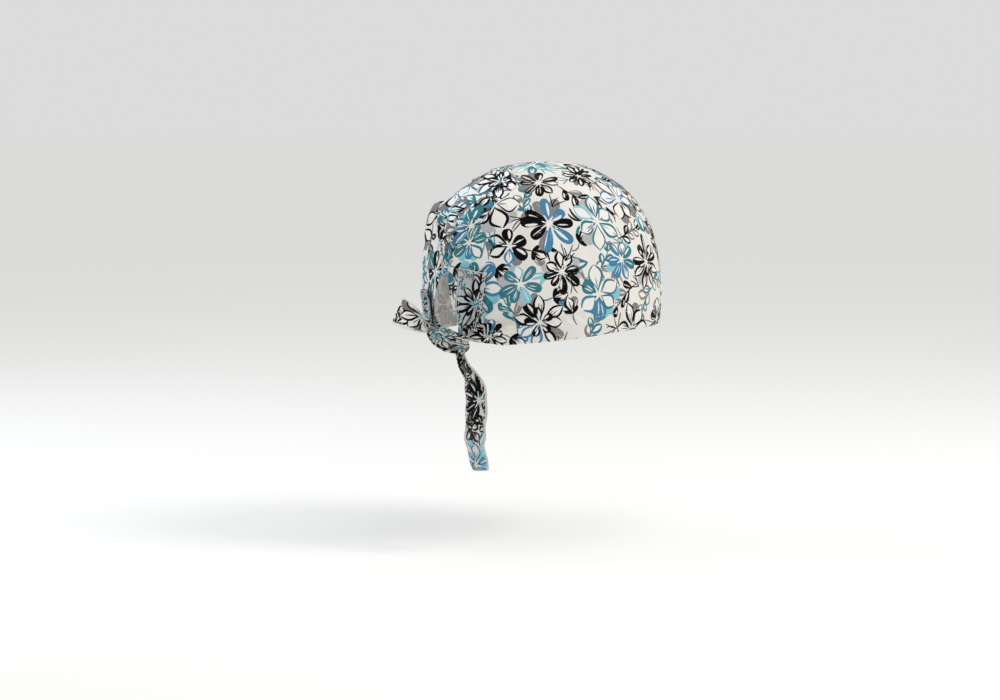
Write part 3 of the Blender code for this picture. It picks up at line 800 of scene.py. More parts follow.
def lay_motif(sheet, faces, chosen, places, turn, strokes):
    """Turns the cloth's places into the motif's own frame and lays its strokes one by one, each on
    the faces near it."""
    if not len(chosen):
        return
    used, corner = np.unique(faces[chosen], return_inverse=True)
    corner = corner.reshape(-1, 4)
    c, s = math.cos(turn), math.sin(turn)
    local = places[used] @ np.array([[c, -s], [s, c]])
    low, high = local[corner].min(axis=1), local[corner].max(axis=1)
    along, across = np.zeros(len(local)), np.zeros(len(local))
    for stroke in strokes:
        line = np.asarray(stroke.line)
        first, last = line.min(axis=0) - stroke.width - 1, line.max(axis=0) + stroke.width + 1
        near = ((high > first) & (low < last)).all(axis=1)
        points = np.zeros(len(local), bool)
        points[corner[near]] = True
        if points.any():
            along[points], across[points] = stroke_place(local[points], line)
            lay_stroke(sheet, chosen[near], along[corner[near]], across[corner[near]], stroke)


# Materials
def colour(code, alpha=1.0):
    """Linear colour from an sRGB hex value."""
    parts = [int(code[k:k + 2], 16) / 255 for k in (1, 3, 5)]
    return tuple(p / 12.92 if p <= 0.04045 else ((p + 0.055) / 1.055) ** 2.4 for p in parts) + (alpha,)


def add(tree, kind, links, **settings):
    """Adds a node: links maps its inputs, by name or number, to a value, a socket or a node."""
    node = tree.nodes.new(kind)
    for key, value in settings.items():
        setattr(node, key, value)
    for key, value in links.items():
        if isinstance(value, bpy.types.Node):
            value = value.outputs[0]
        if isinstance(value, bpy.types.NodeSocket):
            tree.links.new(value, node.inputs[key])
        else:
            node.inputs[key].default_value = value
    return node


def new_material(name, **values):
    """Material with these values on its shader's inputs, whose names have _ for each space."""
    material = bpy.data.materials.new(name)
    material.use_nodes = True
    shader = material.node_tree.nodes["Principled BSDF"]
    for key, value in values.items():
        shader.inputs[key.replace("_", " ")].default_value = value
    return material, material.node_tree, shader


# Pigment inks on white cotton, in the order of the ink numbers. The bare one is each cloth's ground.
INKS = ("#060507", "#2B292C", "#7D7A7A", "#347480", "#447B9C", "#80BBC7", None, "#ACACAF")


def brush_group(ground):
    """One stroke of ink over a colour. The stroke's half width is W(4u(1-u))^blunt with u = along^skew,
    the ink is where that is more than the distance across, roughened, and less dry streaks along it.
    The bare ink takes the colour ground."""
    tree = bpy.data.node_groups.new("brush stroke", "ShaderNodeTree")
    for name, kind in (("Under", "NodeSocketColor"), ("Stroke", "NodeSocketVector"),
                       ("Brush", "NodeSocketVector"), ("Rough", "NodeSocketFloat")):
        tree.interface.new_socket(name, in_out="INPUT", socket_type=kind)
    tree.interface.new_socket("Colour", in_out="OUTPUT", socket_type="NodeSocketColor")
    given = tree.nodes.new("NodeGroupInput")
    stroke = add(tree, "ShaderNodeSeparateXYZ", {0: given.outputs["Stroke"]})
    brush = add(tree, "ShaderNodeSeparateXYZ", {0: given.outputs["Brush"]})
    math_node = "ShaderNodeMath"
    held = add(tree, math_node, {0: stroke.outputs[0], 1: 0.0}, operation="ADD", use_clamp=True)
    inside = add(tree, math_node, {0: held, 1: stroke.outputs[0], 2: 0.0005}, operation="COMPARE")
    skewed = add(tree, math_node, {0: held, 1: brush.outputs[2]}, operation="POWER")
    rest = add(tree, math_node, {0: 1.0, 1: skewed}, operation="SUBTRACT")
    hump = add(tree, math_node, {0: skewed, 1: rest}, operation="MULTIPLY")
    hump = add(tree, math_node, {0: hump, 1: 4.0}, operation="MULTIPLY")
    hump = add(tree, math_node, {0: hump, 1: brush.outputs[1]}, operation="POWER")
    half = add(tree, math_node, {0: hump, 1: stroke.outputs[2]}, operation="MULTIPLY")
    rough = add(tree, math_node, {0: given.outputs["Rough"], 1: 0.5, 2: half}, operation="MULTIPLY_ADD")
    away = add(tree, math_node, {0: stroke.outputs[1]}, operation="ABSOLUTE")
    depth = add(tree, math_node, {0: rough, 1: away}, operation="SUBTRACT")
    ink = add(tree, "ShaderNodeMapRange", {0: depth, 1: -0.05, 2: 0.10, 3: 0.0, 4: 1.0},
              interpolation_type="SMOOTHSTEP")
    # Bristle streaks: 0.6 mm wide and a third of the stroke long, coarser than real bristles' marks
    streak_place = add(tree, "ShaderNodeCombineXYZ", {
        0: add(tree, math_node, {0: stroke.outputs[0], 1: 3.0}, operation="MULTIPLY"),
        1: add(tree, math_node, {0: stroke.outputs[1], 1: 1.6}, operation="MULTIPLY"),
        2: add(tree, math_node, {0: brush.outputs[0], 1: 9.7}, operation="MULTIPLY")})
    streak = add(tree, "ShaderNodeTexNoise", {"Vector": streak_place, "Scale": 1.0, "Detail": 2.0})
    dry = add(tree, math_node, {0: brush.outputs[0]}, operation="FRACT")
    limit = add(tree, math_node, {0: dry, 1: 0.34, 2: 0.22}, operation="MULTIPLY_ADD")
    cover = add(tree, math_node, {0: streak, 1: limit}, operation="SUBTRACT")
    cover = add(tree, "ShaderNodeMapRange", {0: cover, 1: -0.03, 2: 0.03, 3: 0.0, 4: 1.0})
    mask = add(tree, math_node, {0: ink, 1: cover}, operation="MULTIPLY")
    mask = add(tree, math_node, {0: mask, 1: inside}, operation="MULTIPLY")
    number = add(tree, math_node, {0: brush.outputs[0], 1: 1 / len(INKS)}, operation="MULTIPLY")
    ramp = add(tree, "ShaderNodeValToRGB", {0: number})
    ramp.color_ramp.interpolation = "CONSTANT"
    while len(ramp.color_ramp.elements) < len(INKS):
        ramp.color_ramp.elements.new(1.0)
    for k, (stop, code) in enumerate(zip(ramp.color_ramp.elements, INKS)):
        stop.position = k / len(INKS)
        stop.color = colour(code or ground)
    mixed = add(tree, "ShaderNodeMix", {0: mask, 6: given.outputs["Under"], 7: ramp},
                data_type="RGBA")
    out = tree.nodes.new("NodeGroupOutput")
    tree.links.new(mixed.outputs[2], out.inputs["Colour"])
    return tree


# Plain weave, drawn at 0.6 mm a thread pair so that it can show. The real one is about 0.3 mm.
THREAD_PAIR = 0.6


def printed_cotton(name, ground):
    """Cotton shirting, plain woven and printed with flat inks: matt, a little fuzzy, the thread just
    felt. ground is the bare cloth's two tones, which drift into each other as washed cotton's do. The
    reverse shows the print faintly, as ink that has gone through."""
    material, tree, shader = new_material(name, Roughness=0.86, Specular_IOR_Level=0.08,
                                          Sheen_Weight=0.03, Sheen_Roughness=0.45)
    place = add(tree, "ShaderNodeTexCoord", {}).outputs["Object"]
    rough = add(tree, "ShaderNodeTexNoise", {"Vector": place, "Scale": 1100.0, "Detail": 2.0})
    rough = add(tree, "ShaderNodeMath", {0: rough, 1: 0.5}, operation="SUBTRACT")
    cloud = add(tree, "ShaderNodeTexNoise", {"Vector": place, "Scale": 28.0, "Detail": 3.0})
    cloud = add(tree, "ShaderNodeMapRange", {0: cloud, 1: 0.3, 2: 0.7, 3: 0.0, 4: 1.0})
    base = add(tree, "ShaderNodeMix", {0: cloud, 6: colour(ground[0]), 7: colour(ground[1])},
               data_type="RGBA").outputs[2]
    shade = base
    strokes = brush_group(ground[0])
    for k in reversed(range(LAYERS)):
        stroke = add(tree, "ShaderNodeAttribute", {}, attribute_name="stroke_%d" % k)
        brush = add(tree, "ShaderNodeAttribute", {}, attribute_name="brush_%d" % k)
        layer = add(tree, "ShaderNodeGroup", {}, node_tree=strokes)
        for socket, value in (("Under", shade), ("Stroke", stroke.outputs["Vector"]),
                              ("Brush", brush.outputs["Vector"]), ("Rough", rough.outputs[0])):
            tree.links.new(value, layer.inputs[socket])
        shade = layer.outputs[0]
    reverse = add(tree, "ShaderNodeAttribute", {}, attribute_name="reverse").outputs["Fac"]
    faded = add(tree, "ShaderNodeMath", {0: reverse, 1: 0.62}, operation="MULTIPLY")
    shade = add(tree, "ShaderNodeMix", {0: faded, 6: shade, 7: base}, data_type="RGBA").outputs[2]
    weave = add(tree, "ShaderNodeUVMap", {}, uv_map="weave")
    parts = add(tree, "ShaderNodeSeparateXYZ", {0: weave})
    threads = []
    for way in (0, 1):
        turn = add(tree, "ShaderNodeMath", {0: parts.outputs[way], 1: 2 * math.pi / THREAD_PAIR},
                   operation="MULTIPLY")
        threads.append(add(tree, "ShaderNodeMath", {0: turn}, operation="SINE"))
    thread = add(tree, "ShaderNodeMath", {0: threads[0], 1: threads[1]}, operation="MULTIPLY")
    slub = add(tree, "ShaderNodeTexNoise", {"Vector": place, "Scale": 420.0, "Detail": 4.0})
    height = add(tree, "ShaderNodeMath", {0: thread, 1: 0.22, 2: slub.outputs[0]},
                 operation="MULTIPLY_ADD")
    bump = add(tree, "ShaderNodeBump", {"Height": height, "Strength": 0.35, "Distance": 0.00012})
    tree.links.new(shade, shader.inputs["Base Color"])
    tree.links.new(bump.outputs[0], shader.inputs["Normal"])
    return material


def thread_material():
    """Spun polyester sewing thread, twisted: off-white with a slight gloss along the ply."""
    material, tree, shader = new_material("spun_polyester_thread", Roughness=0.6)
    place = add(tree, "ShaderNodeTexCoord", {}).outputs["Object"]
    ply = add(tree, "ShaderNodeTexNoise", {"Vector": place, "Scale": 2600.0, "Detail": 1.0})
    tone = add(tree, "ShaderNodeMix", {0: ply, 6: colour("#E3DED4"), 7: colour("#FBF8F2")},
               data_type="RGBA")
    bump = add(tree, "ShaderNodeBump", {"Height": ply, "Strength": 0.4, "Distance": 0.0001})
    tree.links.new(tone.outputs[2], shader.inputs["Base Color"])
    tree.links.new(bump.outputs[0], shader.inputs["Normal"])
    return material


# One woven and printed cotton in five ground tones. The front's is the cloth's own, and the other four are
# painted light and shade on that same cloth: the gathered back painted cooler and whiter as if in cool light,
# the straps painted darker as the cap's shade, the knot and long end painted in half shade, and the short end
# painted lighter as if turned to the light
front_print = printed_cotton("printed_cotton_shirting", ("#E0DDD9", "#D8D3CD"))
back_print_painted_cool_light = printed_cotton("cotton_shirting_painted_cool_light", ("#E8EBEC", "#DBE0E2"))
strap_print_painted_shade = printed_cotton("cotton_strap_painted_shade", ("#B2B7B9", "#A6ABAE"))
end_print_painted_half_shade = printed_cotton("cotton_strap_painted_half_shade", ("#CAC8C3", "#BFBDB8"))
short_print_painted_light = printed_cotton("cotton_strap_painted_light", ("#E9E7E3", "#DFDDD9"))
thread = thread_material()


# The panels
def dip(distance, depth, reach):
    """Cloth drawn in along a line: down by depth on it and level again past about reach."""
    return -depth * bell(distance, reach)


# Rows of the front cloth: close together along its two edges, where the sewing shows. Where the panel
# is shorter than both zones and the least room between them, they close up in proportion.
SEAM_ZONE, SEAM_ROWS = 0.008, 10
HEM_ZONE, HEM_ROWS = 0.024, 34
BODY_ROOM, BODY_ROWS = 0.012, 92


def front_cloth():
    """Front, top and sides in one piece: rows from the seams down to the rim, at set distances from
    both. On the skin lie creases, the seam's roll with its small gathers, the hem's second layer with
    the stitched groove over it, and puckers along the stitches."""
    right, left, rim_azimuth = seam_curves(FRONT_STEPS)
    top = np.vstack([right, left[-2::-1]])
    rim = np.vstack([rim_direction(rim_azimuth), rim_direction(-rim_azimuth[-2::-1])])
    rim[0], rim[-1] = top[0], top[-1]
    whole = path_length(on_skin(between(top[None], rim[None], np.linspace(0, 1, 60)[:, None, None])))[-1]
    scale = np.clip(whole / (SEAM_ZONE + HEM_ZONE + BODY_ROOM), 1e-4, 1)
    seam_rows = np.linspace(0, SEAM_ZONE, SEAM_ROWS)[:, None] * scale
    hem_rows = whole - np.linspace(HEM_ZONE, 0, HEM_ROWS)[:, None] * scale
    step = np.linspace(0, 1, BODY_ROWS + 2)[1:-1, None]
    body_rows = seam_rows[-1] + (hem_rows[0] - seam_rows[-1]) * step
    share = np.vstack([seam_rows, body_rows, hem_rows]) / np.maximum(whole, 1e-6)
    d = between(top[None], rim[None], np.clip(share, 0, 1)[..., None])
    plain = on_skin(d)
    from_top = path_length(plain)
    from_rim = from_top[-1] - from_top
    around = path_length(plain[-1:], axis=1)[0]
    columns = np.arange(d.shape[1])
    open_edge = np.minimum(columns, columns[::-1]) < KEYHOLE_ROW * FRONT_STEPS
    lift = uneven(d)
    pucker = wave(around, 0.0078, 1.9 * np.sin(around / 0.023))
    lift += 0.00032 * pucker * bell(from_rim - HEM_DEPTH, 0.0045)
    lift += 0.00020 * pucker * smooth_step((0.004 - from_rim) / 0.004)
    lift += 0.00045 * smooth_step((HEM_DEPTH + 0.0008 - from_rim) / 0.0014)
    lift += dip(from_rim - HEM_STITCH, 0.00060, 0.0011)
    gather = wave(path_length(plain[:1], axis=1)[0], 0.0068)
    seam = dip(from_top, 0.0010, 0.0016) + 0.00022 * gather * bell(from_top, 0.008)
    hemmed = 0.0005 * smooth_step((OPENING_STITCH + 0.0014 - from_top) / 0.0012)
    hemmed += dip(from_top - OPENING_STITCH, 0.00035, 0.0009)
    lift += np.where(open_edge, hemmed, seam)
    wall = CLOTH + (HEM_WALL - CLOTH) * smooth_step((HEM_DEPTH + 0.001 - from_rim) / 0.002)
    flat = np.stack([np.broadcast_to(around, from_rim.shape), from_rim], axis=-1) / MM
    return cloth_wall("front_cloth", on_skin(d, lift), on_skin(d, lift - wall), flat, front_print)


def back_cloth():
    """Panel between the seams, gathered into its lower tip: rows from the tip to the crown, columns
    from the right seam to the left, with the pleats and finer gathers between them. Its flat width
    stays nearly full down to the tip, so that the print closes up in the gathers."""
    right, left, _ = seam_curves(BACK_STEPS)
    first = KEYHOLE_ROW * BACK_STEPS
    edge = np.vstack([right[first:], left[-2 : first - 1 : -1]])
    inward = unit(np.cross(np.gradient(edge, axis=0), edge))
    inward *= np.sign(((edge.mean(axis=0) - edge) * inward).sum())
    edge = unit(edge + inward * (GAP / skin_radius(edge))[:, None])
    rows = len(right) - first
    right, left = edge[:rows], edge[: rows - 2 : -1]
    across = np.linspace(0, 1, 121)
    height = np.linspace(0, 1, rows)
    d = between(right[:, None], left[:, None], across[None, :, None])
    width = np.linalg.norm(right - left, axis=-1) * HALF_LENGTH
    flat_share = smooth_step(width / (4 * PLEAT_HEIGHT))
    lift = PANEL_PUFF * np.sin(math.pi * across)[None] * np.sin(math.pi * np.sqrt(height))[:, None]
    for pleat in PLEATS:
        hump = bell(across - pleat.across, pleat.spread)
        hump *= smooth_step(across / 0.08) * smooth_step((1 - across) / 0.08)
        run = smooth_step((height - pleat.low) / 0.2) * smooth_step((pleat.high - height) / 0.3)
        lift += PLEAT_HEIGHT * pleat.height * hump[None] * (run * flat_share)[:, None]
    plain = on_skin(d)
    side = np.minimum(across[None] * width[:, None], (1 - across[None]) * width[:, None])
    fine = lapped(across[None] + 0.02 * np.sin(height[:, None] * 9), 7, 0.2)
    run = smooth_step(height / 0.05) * smooth_step((0.80 - height) / 0.55) * flat_share
    lift += 0.0017 * (fine - 0.4) * run[:, None] * smooth_step(side / 0.004)
    lift += 0.00040 * ripple(plain, 8, 0.012, 0.035, 11) * smooth_step(side / 0.005)
    along = path_length(plain[:, :1])
    lift += dip(side, 0.0010, 0.0015) + 0.00028 * wave(along, 0.0056) * bell(side, 0.007)
    widest = int(width.argmax())
    cut = np.where(np.arange(rows) < widest, width[widest] * (0.72 + 0.28 * height / height[widest]), width)
    flat = np.stack([(across[None] - 0.5) * cut[:, None], np.broadcast_to(along, side.shape)], axis=-1) / MM
    return cloth_wall("back_cloth", on_skin(d, lift), on_skin(d, lift - CLOTH), flat, back_print_painted_cool_light)


def lapped(x, count, phase):
    """Pleats that lap over each other, count of them from 0 to 1: a slow rise and a quick fall."""
    s = (x * count + phase) % 1.0
    return s**0.8 * (1 - smooth_step((s - 0.80) / 0.20))


def strap_on_cap(name, stations, seed, columns=41, steps=18):
    """Strap on the skin along its middle line, its edges turned in and stitched and standing a little
    off the cap, its upper end hemmed, and bunched into lapped folds where it narrows to the knot."""
    rows = smooth_curve(stations, steps)
    line = direction(rows[:, 0], rows[:, 1])
    middle, normal = on_skin(line), skin_normal(line)
    side = unit(np.cross(np.gradient(middle, axis=0), normal))
    across = np.linspace(-1, 1, columns)
    reach = TIE_WIDTH / 2 * rows[:, 2, None, None] * across[None, :, None]
    d = unit(middle[:, None] + side[:, None] * reach - CENTRE)
    bunch = smooth_step((0.97 - rows[:, 2]) / 0.40)[:, None]
    x = across[None]
    fold = 0.0026 * bunch * (lapped(0.5 + 0.5 * x, 3.6, 0.3) - 0.25) * (1 - 0.7 * x**6)
    length = path_length(middle)[:, None]
    edge = (1 - np.abs(x)) * TIE_WIDTH / 2 * rows[:, 2, None]
    stitched = dip(edge - STRAP_STITCH, 0.00030, 0.0006) * (1 - bunch)
    rolled = 0.0007 * np.abs(x) ** 6 * (1 - 0.6 * bunch)
    hem = 0.0008 * smooth_step((0.0070 - length) / 0.0008) + dip(length - 0.0062, 0.00035, 0.0006)
    corner = 0.0016 * smooth_step((0.012 - length) / 0.012) * (0.35 + 0.65 * x**2)
    sag = 0.00035 * ripple(middle[:, None] + side[:, None] * reach, 6, 0.009, 0.024, seed)
    lift = np.maximum(fold + stitched + rolled + sag * (0.5 + bunch), -0.0002) + hem + corner
    lift = lift + TIE_GAP + 0.0002 + KNOT_DEPTH * rows[:, 3, None] + uneven(d)
    flat = np.stack([x * TIE_WIDTH / 2 + 0 * length, length + 0 * x], axis=-1) / MM
    outer, inner = on_skin(d, lift + STRAP_WALL), on_skin(d, lift)
    return cloth_wall(name, outer, inner, flat, strap_print_painted_shade)


# The knot
def knot_place(shares):
    """Points in the knot, from shares of its width to the right, its depth and its height."""
    middle = np.array([KNOT_X, HALF_LENGTH - KNOT_SET_IN, KNOT_Z])
    return middle + np.asarray(shares, float) * np.array([-KNOT_WIDTH, KNOT_DEPTH, KNOT_HEIGHT])


# How each band is bunched: its points, shares of the band's width and wall, how many lengthwise folds
# it has and where they start, and its twist to each side of the middle, in degrees
Bunch = namedtuple("Bunch", "points width wall folds phase twist")
BUNCHES = {
    "wrap": Bunch((BandPoint(-0.49, 0.02, 0.34, 0.56, 0),) + KNOT_BANDS["wrap"], 1.12, 1.02, 3.3, 0.3, 10),
    "strand": Bunch(KNOT_BANDS["strand"], 1.00, 0.98, 3.6, 0.8, -12),
    "loop": Bunch(KNOT_BANDS["loop"], 1.02, 0.98, 2.7, 0.2, 8),
}


def bunched_bands():
    """The straps in the knot: each an oval section carried along its path, closed at both ends, with
    lengthwise folds pressed into its two broad sides and small cross creases where it bends."""
    sides = 96
    points, faces, flats, side = [], [], [], []
    for number, bunch in enumerate(BUNCHES.values()):
        rows = smooth_curve(bunch.points, 16)
        path = knot_place(rows[:, :3])
        along = unit(np.gradient(path, axis=0))
        out = unit(np.cross(along, np.cross([0.0, 1.0, 0.0], along)))
        flat_way = np.cross(along, out)
        share = np.linspace(0, 1, len(path))
        roll = np.radians(rows[:, 4] + bunch.twist * (share - 0.5) * 2)[:, None]
        broad = flat_way * np.cos(roll) + out * np.sin(roll)
        deep = out * np.cos(roll) - flat_way * np.sin(roll)
        angle = np.linspace(0, 2 * math.pi, sides, endpoint=False)
        round_off = np.sqrt(np.clip(1 - (2 * share - 1) ** 12, 0.02, 1))
        wide = 0.5 * BAND_WIDTH * rows[:, 3] * bunch.width * round_off
        thick = 0.5 * BAND_WALL * np.sqrt(rows[:, 3]) * bunch.wall * round_off
        x = np.cos(angle)
        press = 0.54 + 0.58 * lapped(0.5 + 0.5 * x[None], bunch.folds, bunch.phase + 0.5 * share[:, None])
        length = path_length(path)
        crease = 0.05 * wave(length[:, None], 0.0042, 3.5 * x[None])
        depth = np.sign(np.sin(angle)) * np.abs(np.sin(angle)) ** 0.8 * (press + crease)
        ring = (path[:, None] + (wide[:, None] * x)[..., None] * broad[:, None]
                + (thick[:, None] * depth)[..., None] * deep[:, None])
        band, ways = ring.reshape(-1, 3), (ring - ring.mean(axis=1, keepdims=True)).reshape(-1, 3)
        grid = np.arange(len(band)).reshape(len(path), sides)
        tube = quads(np.hstack([grid, grid[:, :1]]))
        tube = turned_out(band, tube, ways[tube[:, 0]])
        k = np.arange(sides // 2 - 1)
        caps = [turned_out(band, np.stack([g[k], g[k + 1], g[sides - 2 - k], g[sides - 1 - k]], axis=-1), way)
                for g, way in ((grid[0], -along[0]), (grid[-1], along[-1]))]
        start = sum(len(p) for p in points)
        points.append(band)
        faces += [part + start for part in (*caps, tube)]
        # Each band takes its own part of the print, and a face that wraps from one side of the strap
        # to the other, where the flat places jump, counts as an edge and stays bare
        around = np.where(np.sin(angle) >= 0, x, 2 - x) * TIE_WIDTH / 2
        flat = np.stack([np.broadcast_to(around, ring.shape[:2]) + 0.06 * number,
                         np.broadcast_to(length[:, None], ring.shape[:2]) + 0.03 * number], axis=-1)
        flats.append(flat.reshape(-1, 2) / MM)
        side += [2] * len(caps[0]) + [2] * len(caps[1])
        jump = np.abs(np.diff(flats[-1][tube][..., 0], axis=-1)).max(-1) > 8
        side += list(np.where(jump, 2, 0))
    points, faces = np.vstack(points), np.vstack(faces)
    piece = make_mesh("knotted_straps", points, faces, end_print_painted_half_shade, 75)
    return Cloth(piece, points, faces, face_normals(points, faces), np.array(side), np.vstack(flats), None)


def ribbon(name, path, widths, facing, relief, material, columns=29):
    """Flat strap along a path: facing holds the vectors across it, and relief lifts the cloth off the
    plain ribbon, for each length along and share across. A groove lies under each row of stitches."""
    along = unit(np.gradient(path, axis=0))
    across = unit(facing - along * (facing * along).sum(-1, keepdims=True))
    normal = np.cross(along, across)
    x = np.linspace(-1, 1, columns)
    middle = path[:, None] + across[:, None] * (x[None, :, None] * widths[:, None, None] / 2)
    edge = (1 - np.abs(x[None])) * widths[:, None] / 2
    height = relief(x[None], path_length(path)[:, None])
    half = STRAP_WALL / 2 + dip(edge - STRAP_STITCH, 0.00016, 0.0006)
    outer = middle + normal[:, None] * (height + half)[..., None]
    inner = middle + normal[:, None] * (height - half)[..., None]
    length = path_length(path)[:, None]
    flat = np.stack([x[None] * TIE_WIDTH / 2 + 0 * length, length + 0 * x[None]], axis=-1) / MM
    return cloth_wall(name, outer, inner, flat, material)


def hanging_tail():
    """The long loose end: bunched where it leaves the knot, then opening to its width, with a soft
    fold across it below the middle and its corners turned a little."""
    rows = smooth_curve(HANGING_TAIL, 16)
    root = knot_place(TAIL_SEAT[:3]) - np.array([0, 0, 0.5 * BAND_WIDTH * TAIL_SEAT.width - 0.001])
    swing = HANGING_DRIFT * rows[:, 1]
    path = root + np.stack([-0.64 * swing, -0.77 * swing, -HANGING_LENGTH * rows[:, 0]], axis=-1)
    turn = np.radians(rows[:, 4])
    facing = np.stack([np.cos(turn), np.sin(turn), 0 * turn], axis=-1)
    width = TIE_WIDTH * rows[:, 3]

    def relief(x, length):
        bunch = smooth_step((0.034 - length) / 0.030)
        rolled = 0.0016 * x**2 * bell(length - 0.045, 0.03)
        kink = dip(length - 0.070 + 0.002 * x, 0.0009, 0.0035)
        sway = 0.0005 * wave(length, 0.019, 1.4 * x) * (1 - bunch)
        return 0.0032 * bunch * (lapped(0.5 + 0.5 * x, 3.2, 0.1) - 0.4) + rolled + kink + sway

    return ribbon("hanging_end", path, width, facing, relief, end_print_painted_half_shade)


def short_tail():
    """The short loose end: pinched at the knot and fanning out to its square end."""
    rows = smooth_curve(SHORT_TAIL, 14)
    reach = np.stack([0.36 * rows[:, 1], 0.80 * rows[:, 0], 0.48 * rows[:, 2]], axis=-1)
    turn = np.radians(rows[:, 4])
    facing = np.stack([0.4 * np.sin(turn), -np.sin(turn), np.cos(turn)], axis=-1)
    path = knot_place(SHORT_TAIL_SEAT) + SHORT_LENGTH * reach

    def relief(x, length):
        bunch = smooth_step((0.020 - length) / 0.018)
        return 0.0030 * bunch * (lapped(0.5 + 0.5 * x, 3.0, 0.4) - 0.4) + 0.0009 * x**2 - 0.015 * x * length

    return ribbon("short_end", path, TIE_WIDTH * rows[:, 3], facing, relief, short_print_painted_light)


# Stitches
def stitches(line, normals, step=3.0 * MM, size=2.2 * MM, radius=0.19 * MM):
    """Row of lockstitches: on each step of the line a short rounded bead of thread with its ends sunk
    into the cloth, a ring of six points carried along half a wave."""
    length = path_length(line)
    count = max(int(length[-1] / step), 1)
    share = np.linspace(0, 1, 6)
    at = (np.arange(count)[:, None] + 0.2) * step + share[None] * size
    place, up = (np.stack([np.interp(at, length, v[:, k]) for k in range(3)], axis=-1)
                 for v in (line, normals))
    up = unit(up)
    side = unit(np.cross(np.gradient(place, axis=1), up))
    swell = np.sqrt(np.clip(np.sin(math.pi * share), 0.04, 1))[None, :, None, None]
    angle = np.linspace(0, 2 * math.pi, 6, endpoint=False)[None, None, :, None]
    ring = radius * swell * (np.cos(angle) * side[:, :, None] + np.sin(angle) * up[:, :, None])
    rise = radius * (np.sin(math.pi * share) - 0.35)[None, :, None]
    points = ((place + up * rise)[:, :, None] + ring).reshape(-1, 3)
    grid = np.arange(count * 36).reshape(count, 6, 6)
    wrap = np.concatenate([grid, grid[..., :1]], axis=-1)
    body = quads(wrap)
    first, last = grid[:, 0], grid[:, -1]
    caps = [first[:, [0, 1, 4, 5]], first[:, [1, 2, 3, 4]], last[:, [5, 4, 1, 0]], last[:, [4, 3, 2, 1]]]
    faces = np.vstack([body] + caps)
    middle = np.repeat(points.reshape(count * 6, 6, 3).mean(axis=1), 6, axis=0)
    looks_out = (face_normals(points, body) * (points - middle)[body[:, 0]]).sum() > 0
    return points, faces if looks_out else faces[:, ::-1]


def stitch_rows(name, rows):
    """Several rows of stitches as one piece. Each row is a line and the cloth's normals along it."""
    made = [stitches(*row) for row in rows]
    starts = np.cumsum([0] + [len(points) for points, _ in made])
    points = np.vstack([points for points, _ in made])
    faces = np.vstack([faces + start for (_, faces), start in zip(made, starts)])
    piece = make_mesh(name, points, faces, thread, 80)
    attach(piece, "root")
    return piece


def line_at(grid, distance, wanted):
    """Line on a grid where distance, falling down each column, passes wanted."""
    row = np.clip((distance > wanted).sum(axis=0), 1, len(grid) - 1)
    column = np.arange(grid.shape[1])
    above, below = distance[row - 1, column], distance[row, column]
    share = np.clip((above - wanted) / np.maximum(above - below, 1e-9), 0, 1)[:, None]
    return grid[row - 1, column] * (1 - share) + grid[row, column] * share


def cap_normals(line):
    """Normals of the cap under a line on it."""
    return skin_normal(unit(line - CENTRE))


def ribbon_rows(cloth, columns, ends=()):
    """Stitch lines along a strap, on both its faces, down the given columns and across given rows."""
    outer, inner = cloth.grid
    up = unit(outer - inner)
    rows = []
    for grid, way in ((outer, 1), (inner, -1)):
        rows += [(grid[2:-2, k], way * up[2:-2, k]) for k in columns]
        rows += [(grid[k, 3:-3], way * up[k, 3:-3]) for k in ends]
    return rows


def folded_edges(cloth, top=None):
    """Lines just inside a strap's two long edges, and one top mm inside its upper edge."""
    (left, low), (right, high) = cloth.flat.min(0), cloth.flat.max(0)
    inset = 0.5
    lines = [[(x, low - 2), (x, high + 2)] for x in (left + inset, right - inset)]
    return lines + ([] if top is None else [[(left - 2, low + top), (right + 2, low + top)]])


front = front_cloth()
print_cloth(front, 22)
back = back_cloth()
print_cloth(back, 34, True)
right_strap = strap_on_cap("right_strap", RIGHT_TIE, 5)
print_cloth(right_strap, 54, True, folded_edges(right_strap, 0.6))
left_strap = strap_on_cap("left_strap", LEFT_TIE, 6)
print_cloth(left_strap, 51, True, folded_edges(left_strap, 0.6))
knot = bunched_bands()
print_cloth(knot, 65, True)
long_end = hanging_tail()
print_cloth(long_end, 81, True, folded_edges(long_end))
short_end = short_tail()
print_cloth(short_end, 68, True, folded_edges(short_end))

DRESSED = (
    (front, "front_panel", "front_cotton", (0.60, 0.20), 0.075, "stretched"),
    (back, "back_panel", "back_cotton", (0.11, 0.11), 0.0066, "gathered"),
    (right_strap, "right_tie", "tie_cotton", (0.022, 0.052), None, "stretched"),
    (left_strap, "left_tie", "tie_cotton", (0.022, 0.036), None, "stretched"),
    (knot, "knot", "knot_cotton", (0.022, 0.075), None, "folded"),
    (long_end, "hanging_tail", "tie_cotton", (0.022, 0.092), None, "hung"),
    (short_end, "short_tail", "tie_cotton", (0.022, 0.031), None, "hung"),
)
for cloth, node, slot, flat, area, held in DRESSED:
    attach(cloth.piece, "root")
    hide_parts(node)

# Rows of stitches: the hem's at its upper edge, the opening's two edges, and along every strap
outer = front.grid[0]
cells = outer.shape[0] * outer.shape[1]
from_rim = front.flat[:cells, 1].reshape(outer.shape[:2]) * MM
hem_line = line_at(outer, from_rim, HEM_STITCH)[6:-6]
flap = KEYHOLE_ROW * FRONT_STEPS
opening = line_at(outer, -path_length(outer), -OPENING_STITCH)
stitch_rows("hem_stitches", [(hem_line, cap_normals(hem_line))])
stitch_rows("opening_stitches",
            [(line, cap_normals(line)) for line in (opening[4:flap], opening[-flap:-4])])
strap_rows = []
for cloth in (right_strap, left_strap):
    up = unit(cloth.grid[0] - cloth.grid[1])
    strap_rows += [(cloth.grid[0][2:-8, k], up[2:-8, k]) for k in (4, 36)]
stitch_rows("strap_stitches", strap_rows)
stitch_rows("end_stitches", ribbon_rows(long_end, (3, 25), (-5,)) + ribbon_rows(short_end, (3, 25), (-4,)))

